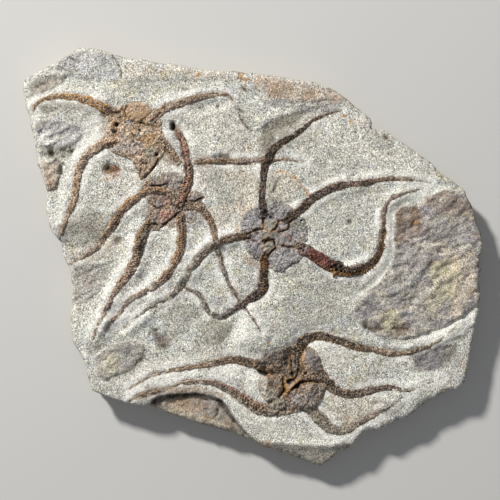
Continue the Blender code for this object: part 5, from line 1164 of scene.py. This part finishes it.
class Finish:
    """A surface's material, built from nodes that read the piece's own place and tint."""

    def __init__(self, name):
        self.material = bpy.data.materials.new(name)
        self.material.use_nodes = True
        self.tree = self.material.node_tree
        self.shader = self.tree.nodes["Principled BSDF"]
        self.place = self.node("ShaderNodeTexCoord", {}, {}, "Object")

    def node(self, kind, settings, values, output=0):
        made = self.tree.nodes.new(kind)
        for key, value in settings.items():
            setattr(made, key, value)
        pairs = values.items() if isinstance(values, dict) else enumerate(values)
        for key, value in pairs:
            self.set(made.inputs[key], value)
        return Wire(self, made.outputs[output])

    def set(self, socket, value):
        if isinstance(value, Wire):
            self.tree.links.new(value.socket, socket)
        else:
            socket.default_value = value

    def tinted(self):
        """The colour and the grit that the piece's points carry."""
        settings = {"attribute_name": "tint"}
        return (self.node("ShaderNodeAttribute", settings, {}, "Color"),
                self.node("ShaderNodeAttribute", settings, {}, "Alpha"))

    def grain(self, size, detail=2.0):
        """Noise about a half with lumps size millimetres apart."""
        values = {"Vector": self.place, "Scale": 1000.0 / size, "Detail": detail}
        return self.node("ShaderNodeTexNoise", {}, values, "Fac")

    def cells(self, size):
        """One value for each grain, size millimetres across."""
        values = {"Vector": self.place, "Scale": 1000.0 / size}
        return self.node("ShaderNodeTexVoronoi", {}, values, "Color")

    def least(self, value, floor):
        """Value, or floor where it is lower."""
        return self.node("ShaderNodeMath", {"operation": "MAXIMUM"}, [value, floor])

    def step(self, value, low, high):
        """Smooth 0 to 1 as value goes from low to high."""
        settings = {"interpolation_type": "SMOOTHSTEP"}
        return self.node("ShaderNodeMapRange", settings, [value, low, high, 0.0, 1.0])

    def mix(self, share, under, over, blend="MIX"):
        """Colour over another by share; a plain colour is given as a paint chip."""
        settings = {"data_type": "RGBA", "blend_type": blend}
        chips = [(*linear(*c), 1.0) if isinstance(c, tuple) else c for c in (under, over)]
        return self.node("ShaderNodeMix", settings, {0: share, 6: chips[0], 7: chips[1]}, 2)

    def bump(self, height, distance, normal=None):
        """Fine relief; height in the units of distance, which is in millimetres."""
        values = {"Height": height, "Distance": distance / 1000.0, "Strength": 1.0}
        if normal:
            values["Normal"] = normal
        return self.node("ShaderNodeBump", {}, values)

    def done(self, color, roughness, normal):
        """The material, once colour, roughness and normal are wired in."""
        self.set(self.shader.inputs["Base Color"], color)
        self.set(self.shader.inputs["Roughness"], roughness)
        self.set(self.shader.inputs["Normal"], normal)
        self.shader.inputs["Specular IOR Level"].default_value = 0.3
        return self.material


sand = Finish("fine_sandstone")
tinted, grit = sand.tinted()
coarse = sand.grain(2.2, 2.0)
fine = sand.grain(0.7, 1.0)
dust = sand.cells(0.32)
shade = 1.0 + grit * (0.5 * (coarse - 0.5) + 0.7 * (fine - 0.5) + 2.8 * (dust - 0.5))
color = sand.mix(1.0, tinted, sand.least(shade, 0.1), "MULTIPLY")
color = sand.mix(sand.step(sand.grain(0.7, 1.0), 0.63, 0.72) * 0.5 * grit, color, (92, 86, 80))
for size, level, strength, fleck in ((1.1, 0.66, 0.4, (208, 184, 132)), (1.5, 0.64, 0.3, (146, 152, 164))):
    color = sand.mix(sand.step(sand.grain(size, 1.0), level, level + 0.1) * strength, color, fleck)
bumps = sand.bump(fine * 0.4 + dust * 0.5, 0.3, sand.bump(coarse, 0.5))
sandstone = sand.done(color, 0.85 + 0.12 * dust, bumps)
as_piece("sandstone_slab", slab, sandstone, "matrix_slab")


# ---- North-west star -------------------------------------------------------------------------------------
# The most decayed animal: a crumbly brown patch of disc with a smooth lobe, a hollow and rust, and five
# arms of fox-brown plates. Disc and arms are thin mineral skins on the sand they were buried in.


def mineral(name, contrast, dark, fleck):
    """Broken mineral skin: its tint split into odd grains of dark and bright, dull with a faint gleam."""
    skin = Finish(name)
    tinted, grit = skin.tinted()
    coarse = skin.grain(1.6, 2.0)
    fine = skin.grain(0.6, 1.0)
    lot = skin.cells(0.6)
    dust = skin.cells(0.38)
    broken = contrast * (3.0 * (fine - 0.5) + 1.2 * (lot - 0.5)) + 2.6 * (dust - 0.5)
    shade = 1.0 + grit * (broken + 0.5 * (coarse - 0.5))
    color = skin.mix(1.0, tinted, skin.least(shade, 0.12), "MULTIPLY")
    bright = skin.step(shade, 0.4 + 0.9 * contrast, 1.0 + 1.0 * contrast)
    color = skin.mix(bright * 0.7 * grit, color, fleck)
    color = skin.mix(skin.step(skin.cells(0.9), 0.7, 0.8) * 0.7 * contrast * grit, color, dark)
    bumps = skin.bump(lot + fine, 0.35, skin.bump(coarse, 0.5))
    return skin.done(color, 0.55 + 0.3 * coarse, bumps)


def skin_height(star, x, y):
    """Height of a star's disc over the stone, and its share at arrays of places."""
    disc = discs[star]
    share = skin_share(star, x, y)
    extra, _ = relief(x, y, disc["lumps"], disc["folds"], disc["holes"])
    extra += disc["tough"] * (0.8 * rough(x, y, 3.0, 139, 3) + 0.7 * rough(x, y, 1.1, 149, 1))
    return share * np.maximum(disc["rise"] + extra, -1.3), share


crack_shade, hole_shade, dust_ink = (24, 18, 13), (24, 19, 15), (200, 192, 176)


def lay_disc(star, material):
    """A disc: a thin patch on the face, its edge feathered out, closed a little below the stone."""
    disc = discs[star]
    # How far its edge and its hidden underside lie below the stone.
    seat, root = 0.5, 1.6
    bm = new_mesh()
    cut_sheet(bm, disc["outline"], pitch=0.4, wander=0.3)
    x, y, _ = spread(bm.verts)
    ground = stone(x, y)[0]
    cover, share = skin_height(star, x, y)
    for vert, z in zip(bm.verts, ground + cover - seat * (1.0 - share)):
        vert.co.z = z
    tint = np.tile([*linear(*disc["color"]), 1.0], (len(x), 1))
    for other, size, amount, seed in disc["mottle"]:
        paint(tint, spots(x, y, size, amount, seed) * 0.6, *other)
    brush(tint, x, y, disc["marks"], 1.0)
    wobble = (1.1 + 2.0 * rough(x, y, 2.2, 143)).clip(0.4)
    for line, rise, half in disc["folds"]:
        gap = near(line, x, y, 8.0)[0]
        deep = min(1.5 * abs(rise), 1.0)
        halo = gap / half - (1.6 * wobble if rise < 0.0 else 0.0)
        paint(tint, 0.65 * deep * ease(1.2 - 1.4 * np.abs(halo)), *disc["ridge"])
        # Grooves get painted shade, the darker the deeper they are.
        if rise < 0.0:
            paint(tint, 1.7 * deep * np.exp(-(gap / (half * wobble)) ** 2), *crack_shade, 0.15)
    # Sand lies over the edge.
    dusty = ease(1.1 - depth_in(disc["outline"], x, y) / 1.3) * (0.35 + 0.65 * spots(x, y, 2.6, 0.5, 141))
    paint(tint, 0.75 * dusty, *dust_ink)
    # Painted shade in the holes.
    for hx, hy, radius, deep in disc["holes"]:
        paint(tint, ease(1.7 - np.hypot(x - hx, y - hy) / radius), *hole_shade, 0.2)
    colour(bm, bm.verts, tint)
    lower, ring = grow(bm, [edge for edge in bm.edges if edge.is_boundary])
    for vert in lower:
        vert.co.z = ground.min() - root
    bmesh.ops.triangle_fill(bm, edges=ring, use_beauty=True)
    as_piece(f"{star}_disc_fossil", bm, material, f"{star}_disc")


seam_ink, pit_shade, edge_ink, bared_sand = (40, 31, 25), (24, 18, 14), (66, 52, 42), (196, 186, 166)


def lay_arm(name, tones, material, bits, height=0.2, cuts=0.05, pits=0.5, bare=(0.0, 0.35),
            left=None, middle=None, right=None, teeth=0.0, calm=()):
    """An arm: a closed strip over the stone along its course, built of four rows of broken plates with two
    rows of pits. Tones are (place, colour) stops; bits the colours of odd plates; bare how much is worn
    away; calm the stretches where the plates are closed."""
    spacing = 0.3
    course = curve(arms[name], spacing)
    count = len(course)
    # Strips of faces across the top and across the hidden underside, and how far below the stone the two
    # begin.
    top, under = 14, 4
    seat, root = 0.2, 1.4
    bm = new_mesh()
    bmesh.ops.create_grid(bm, x_segments=count - 1, y_segments=top + under, size=0.5)
    u, v, _ = spread(bm.verts)
    row = np.rint((u + 0.5) * (count - 1)).astype(int)
    step = np.rint((v + 0.5) * (top + under))
    over = (step <= top) | (step == top + under)
    across = np.where(step <= top, 2.0 * step / top - 1.0, 1.0 - 2.0 * (step - top) / under)
    run = np.gradient(course[:, :2], axis=0)
    run /= np.hypot(*run.T)[:, None]
    place = np.linspace(0.0, 1.0, count)[row]
    width = course[:, 2] * (1.0 + 0.3 * rough(course[:, 0], course[:, 1], 4.0, 151))
    # Plates are three tenths as long as the arm is wide.
    beat = np.cumsum(spacing / (0.3 * np.maximum(width, 1.9)))
    beat += 0.9 * rough(course[:, 0], course[:, 1], 4.5, 153)
    lane = np.clip(np.floor((across + 1.0) * 2.0), 0, 3).astype(int)
    phase = beat[row] + 0.5 * (lane % 2) + 0.14 * np.abs(across)
    plate = 0.5 + 0.5 * np.cos(phase * math.tau)
    # Three lots for each plate of the four rows: its tone, its odd colour if any and how far it sticks out.
    longest = 2048
    order = np.floor(phase).astype(int) % longest
    lots = np.random.default_rng(len(name)).random((3, 4, longest))[:, lane, order]
    taper = fade_ends(place, 14.0, 16.0, 0.25, 0.1)
    half = width[row] / 2.0 * (0.75 + 0.25 * taper)
    half *= 1.0 + 0.4 * rough(course[row, 0] + 30.0 * np.sign(across), course[row, 1], 1.5, 159, 2)
    broken = 1.0
    for start, end in calm:
        broken -= 0.85 * ease(20.0 * np.minimum(place - start, end - place) + 0.5)
    half += teeth * ease(across * 3.0 - 2.0) * plate * broken * (0.4 + 1.2 * lots[2])
    x = course[row, 0] + across * half * run[row, 1]
    y = course[row, 1] - across * half * run[row, 0]
    ground = stone(x, y)[0]
    star = name[:name.index("_star") + 5] if "_star" in name else None
    if star:
        ground += skin_height(star, x, y)[0]
    for lower in crossings.get(name, []):
        beyond, _, _, wide = along_arm(lower, x, y, 9.0)
        ground += 0.5 * wide * ease(1.3 - np.maximum(beyond, 0.0) / wide)
    crown = (1.0 - np.abs(across) ** 3).clip(0.0) ** 0.6
    rise = height * width[row] * taper * crown * (1.0 + 0.6 * rough(x, y, 2.6, 157))
    rise += width[row] * crown * taper * broken * (cuts * (plate - 0.5) + 0.05 * (lots[0] - 0.5))
    pit = broken * np.exp(-((np.abs(across) - 0.38) / 0.2) ** 2) * (1.0 - plate) ** 2
    rise -= pits * 0.2 * width[row] * pit * taper
    rise += 0.3 * rough(x, y, 1.1, 163, 2)
    worn = spots(x, y, 2.4, np.interp(place, (0.0, 1.0), bare), 173)
    rise -= 0.4 * worn
    z = np.where(over, ground - seat + rise, ground - root)
    for vert, place_xyz in zip(bm.verts, np.column_stack([x, y, z])):
        vert.co = place_xyz
    stops = [stop[0] for stop in tones]
    chips = np.array([[*linear(*stop[1:]), 1.0] for stop in tones])
    tint = np.column_stack([np.interp(place, stops, channel) for channel in chips.T])
    # Bands along the sides and middle: the arm's own colours, and on some arms a dark band painted as shadow
    # along one side.
    for band, (low, high) in ((left, (-2.0, -0.3)), (middle, (-0.3, 0.3)), (right, (0.3, 2.0))):
        if band:
            reach = ease(0.5 + 4.0 * np.minimum(across - low, high - across))
            paint(tint, band[3] * broken * reach, *band[:3])
    tint[:, :3] *= (1.08 + 0.8 * broken * (lots[0] - 0.5))[:, None]
    for ink, low, high in zip(bits, (0.0, 0.55, 0.93), (0.2, 0.7, 1.0)):
        paint(tint, 0.6 * broken * ((lots[1] > low) & (lots[1] < high)), *ink)
    seams = (0.25 + 0.4 * pits) * broken * (1.0 - plate) ** 2 * crown * ease(width[row] / 3.0)
    paint(tint, seams, *seam_ink, 0.5)
    # Painted shade in the pits.
    paint(tint, pits * 2.2 * pit * ease(1.5 - place), *pit_shade, 0.25)
    edges = ease(np.abs(across) * 4.0 - 3.0) * (0.6 - 0.45 * place)
    paint(tint, edges * spots(x, y, 3.0, 0.6, 175), *edge_ink)
    paint(tint, 0.8 * worn, *bared_sand)
    colour(bm, bm.verts, tint)
    bmesh.ops.remove_doubles(bm, verts=bm.verts, dist=0.002)
    bmesh.ops.holes_fill(bm, edges=[edge for edge in bm.edges if edge.is_boundary], sides=0)
    node = f"{name}_arm"
    as_piece(f"{node}_fossil", bm, material, node)


# Arms that pass over others.
crossings = {"centre_star_west": ["w_star_south_east"], "centre_star_south": ["w_star_south_east"],
             "centre_star_north": ["stray"], "w_star_north": ["nw_star_south_east"]}
nw_skin = mineral("crumbly_brown_mineral", 0.6, (70, 50, 36), (230, 212, 190))
nw_bits = ((92, 68, 50), (222, 192, 160), (206, 140, 74))
lay_disc("nw_star", nw_skin)
lay_arm("nw_star_west", [(0, *rust), (0.15, *ochre), (0.6, *ochre), (0.85, *clay),
                         (1, *fawn)], nw_skin, nw_bits, pits=0.3, bare=(0.0, 0.3),
        left=(*ochre, 0.7), middle=(*umber, 0.75), right=(*ochre, 0.6))
lay_arm("nw_star_east", [(0, *buff), (0.3, *fawn), (1, *fawn)],
        nw_skin, nw_bits, pits=0.2, left=(*umber, 0.7), right=(*peach, 0.8))
lay_arm("nw_star_south_west", [(0, *rust), (0.15, *buff), (0.3, *peach), (0.6, *tan), (1, *peach)],
        nw_skin, nw_bits, pits=0.2, bare=(0.0, 0.3), left=(*fawn, 0.4), right=(*buff, 0.5))
lay_arm("nw_star_south_east", [(0, *buff), (0.5, *tan), (1, *tan)], nw_skin, nw_bits, pits=0.45)
lay_arm("nw_star_south", [(0, *peach), (1, *clay)], nw_skin, nw_bits, height=0.06, pits=0.2)

# ---- West star -------------------------------------------------------------------------------------------
# A small reddish disc, broken open, under which the arms of its neighbour run out. Its north arm has turned
# wine-red towards a tip that dives into a hole painted black as shade, and two arms lie on ridges to the
# south-west.

w_disc_skin = mineral("reddish_brown_mineral", 0.65, (60, 44, 36), (216, 200, 184))
w_arm_skin = mineral("dark_and_wine_mineral", 0.7, (46, 34, 28), (216, 192, 166))
w_bits = ((52, 40, 36), (206, 174, 160), (196, 136, 70))
lay_disc("w_star", w_disc_skin)
# Its left band is a painted shadow line along its west side.
lay_arm("w_star_north", [(0, *umber), (0.2, *rust), (0.5, *umber), (0.62, *rose), (0.85, *rose),
                         (0.95, *mauve), (1, *umber)], w_arm_skin, w_bits,
        height=0.26, left=(*jet, 0.8), middle=(*rose, 0.7), right=(*clay, 0.4))
lay_arm("w_star_west", [(0, *fawn), (0.3, *fawn), (0.5, *umber), (0.7, *lead), (0.85, *pewter),
                        (1, *ash)], w_arm_skin, w_bits,
        bare=(0.0, 0.6), right=(*ochre, 0.5))
# Its left band is a painted shadow line along its south-east side.
lay_arm("w_star_south_west", [(0, *umber), (0.1, *char), (0.24, *coal), (0.34, *mauve), (0.45, *peach),
                              (0.7, *lilac), (1, *sand_tone)], w_arm_skin, w_bits, bare=(0.0, 0.8),
        left=(*soot, 0.4), right=(*ochre, 0.3), teeth=0.5)
lay_arm("w_star_south", [(0, *mauve), (0.2, *tan), (0.4, *fawn), (0.5, *pewter), (0.7, *lilac),
                         (1, *ash)], w_arm_skin, w_bits, pits=0.8, bare=(0.0, 0.75),
        left=(*char, 0.35), right=(*ochre, 0.4), teeth=0.5)
lay_arm("w_star_south_east", [(0, *fawn), (0.25, *fawn), (0.5, *pewter), (0.75, *slate), (0.9, *mauve),
                              (1, *peach)], w_arm_skin, w_bits, pits=0.5, bare=(0.0, 0.3))

# ---- Centre star -----------------------------------------------------------------------------------------
# The best kept animal: a lilac-grey leathery disc round a mouth of five jaws, orange at the seams with
# painted shade in them, and arms of nearly black plates. The south-east arm shows wine-red plates and a comb
# of spines.

centre_disc_skin = mineral("leathery_grey_mineral", 0.55, (92, 82, 80), (206, 200, 198))
centre_arm_skin = mineral("black_brown_mineral", 0.9, (22, 18, 17), (184, 160, 134))
centre_bits = ((34, 28, 26), (156, 146, 150), (166, 120, 66))
lay_disc("centre_star", centre_disc_skin)
# Its left band is a painted shadow line along its west side.
lay_arm("centre_star_north", [(0, *coal), (0.15, *lead), (0.3, *coal), (0.42, *jet), (0.6, *jet),
                              (0.75, *soot), (0.87, *umber), (1, *drab)], centre_arm_skin, centre_bits,
        left=(*jet, 0.4), right=(*umber, 0.3))
lay_arm("centre_star_east", [(0, *jet), (0.15, *coal), (0.35, *coal), (0.5, *mauve), (0.65, *umber),
                             (0.8, *fawn), (1, *ash)], centre_arm_skin, centre_bits, bare=(0.0, 0.5),
        left=(*jet, 0.5), right=(*tan, 0.35), teeth=0.6, calm=((0.62, 1.1),))
lay_arm("centre_star_south_east", [(0, *mauve), (0.06, *mauve), (0.09, *wine), (0.21, *wine), (0.26, *soot),
                                   (0.5, *soot), (0.58, *umber), (0.66, *fawn), (0.8, *mauve), (1, *ash)],
        centre_arm_skin, centre_bits, height=0.24, pits=0.9, cuts=0.12, right=(*ochre, 0.55),
        teeth=1.5, calm=((0.06, 0.21), (0.66, 1.1)))
lay_arm("centre_star_west", [(0, *char), (0.12, *clay), (0.3, *drab), (0.5, *pewter), (0.75, *ash),
                             (1, *ash)], centre_arm_skin, centre_bits, bare=(0.0, 0.7))
lay_arm("centre_star_south", [(0, *jet), (0.08, *rust), (0.16, *soot), (0.38, *char), (0.5, *lead),
                              (0.7, *pewter), (1, *ash)], centre_arm_skin, centre_bits, bare=(0.0, 0.4))

# ---- South star ------------------------------------------------------------------------------------------
# The largest disc, swollen and split by cracks, darkened with painted shade, round an orange mouth. Its long
# arms lie in hollows that were cut round them and wave off to both sides.

south_disc_skin = mineral("split_brown_mineral", 0.65, (46, 36, 29), (204, 188, 168))
south_arm_skin = mineral("tar_brown_mineral", 0.75, (38, 30, 25), (200, 182, 158))
south_bits = ((44, 36, 32), (190, 172, 154), (180, 134, 82))
lay_disc("south_star", south_disc_skin)
# Its left band is a painted shadow line along its west and north side.
lay_arm("south_star_north_east", [(0, *coal), (0.12, *coal), (0.3, *soot), (0.46, *char), (0.55, *fawn),
                                  (0.75, *fawn), (1, *sand_tone)],
        south_arm_skin, south_bits, bare=(0.0, 0.5),
        left=(*jet, 0.5), right=(*ochre, 0.4), teeth=0.6, calm=((0.5, 1.1),))
# Its left band is a painted shadow line along its north side.
lay_arm("south_star_east", [(0, *clay), (0.15, *umber), (0.4, *char), (0.55, *mauve), (0.7, *mauve),
                            (0.85, *ash), (1, *sand_tone)], south_arm_skin, south_bits,
        pits=0.5, bare=(0.0, 0.5), left=(*coal, 0.5), right=(*peach, 0.35), teeth=0.7)
lay_arm("south_star_south_east", [(0, *lead), (0.2, *olive), (0.45, *drab), (0.7, *mauve), (0.85, *drab),
                                  (1, *pewter)], south_arm_skin, south_bits, height=0.14,
        pits=0.2, bare=(0.0, 0.3), calm=((-0.1, 1.1),))
# Its right band is a painted shadow line along its north side.
lay_arm("south_star_west", [(0, *char), (0.25, *umber), (0.35, *fawn), (0.5, *tan), (0.7, *peach),
                            (1, *ash)], south_arm_skin, south_bits, pits=0.3,
        bare=(0.0, 0.6), left=(*buff, 0.5), right=(*char, 0.45))
lay_arm("south_star_south_west", [(0, *olive), (0.1, *olive), (0.18, *fawn), (0.3, *clay), (0.42, *mauve),
                                  (0.55, *drab), (0.75, *sand_tone), (0.92, *tan), (1, *umber)],
        south_arm_skin, south_bits, bare=(0.0, 0.6), calm=((-0.1, 0.14),),
        left=(*sand_tone, 0.5), middle=(*umber, 0.6), right=(*rose, 0.35))

# ---- Stray arm -------------------------------------------------------------------------------------------
# A loose arm of a fifth animal, thin and rusty, which runs under the centre star's north arm.

stray_skin = mineral("rusty_mineral", 0.65, (58, 42, 30), (206, 184, 156))
stray_bits = ((60, 44, 32), (206, 178, 154), (170, 110, 60))
lay_arm("stray", [(0, *peach), (0.12, *clay), (0.25, *char), (0.35, *clay), (0.55, *lilac), (0.68, *umber),
                  (0.8, *fawn), (1, *ash)], stray_skin, stray_bits)

# ---- Floor, light and camera ---------------------------------------------------------------------------
# The plate lies on its back on a pale table, lit low from beyond its upper left corner so that the low
# relief throws short shadows, and is seen from straight above.

table = bmesh.new()
bmesh.ops.create_grid(table, x_segments=1, y_segments=1, size=3.0)
bmesh.ops.translate(table, verts=table.verts, vec=(0.0, 0.0, -0.0002))
table_mesh = bpy.data.meshes.new("floor")
table.to_mesh(table_mesh)
table.free()
floor = bpy.data.objects.new("floor", table_mesh)
bpy.context.collection.objects.link(floor)
plain = Finish("pale_table")
table_mesh.materials.append(plain.done((0.62, 0.61, 0.59, 1.0), 0.9, plain.bump(plain.grain(3.0), 0.02)))
face_middle = Vector((0.0, 0.0, 0.016))


def lamp(name, place, size, power, warmth):
    """A soft round light that looks at the middle of the face."""
    data = bpy.data.lights.new(name, "AREA")
    data.shape = "DISK"
    data.size = size
    data.energy = power
    data.color = warmth
    made = bpy.data.objects.new(name, data)
    made.location = place
    made.rotation_euler = (face_middle - Vector(place)).to_track_quat("-Z", "Y").to_euler()
    bpy.context.collection.objects.link(made)


def from_sky(azimuth, elevation, distance):
    """A place in metres, seen from the plate's middle."""
    turn, rise = math.radians(azimuth), math.radians(elevation)
    flat = distance * math.cos(rise)
    return flat * math.cos(turn), flat * math.sin(turn), distance * math.sin(rise)


lamp("key", from_sky(128.0, 34.0, 1.9), 0.22, 45.0, (1.0, 0.985, 0.955))
lamp("fill", from_sky(300.0, 70.0, 1.8), 1.2, 2.0, (0.95, 0.97, 1.0))
world = bpy.data.worlds.new("studio")
world.use_nodes = True
sky = world.node_tree.nodes["Background"].inputs
sky["Color"].default_value = (0.9, 0.94, 1.0, 1.0)
sky["Strength"].default_value = 0.2
bpy.context.scene.world = world
bpy.context.scene.view_settings.view_transform = "Standard"

view_width = 0.275
lens_data = bpy.data.cameras.new("overhead")
lens_data.lens = 100.0
lens_data.sensor_width = 36.0
eye = bpy.data.objects.new("overhead", lens_data)
eye.location = (-0.0014, 0.004, face_middle.z + view_width * lens_data.lens / lens_data.sensor_width)
bpy.context.collection.objects.link(eye)
bpy.context.scene.camera = eye
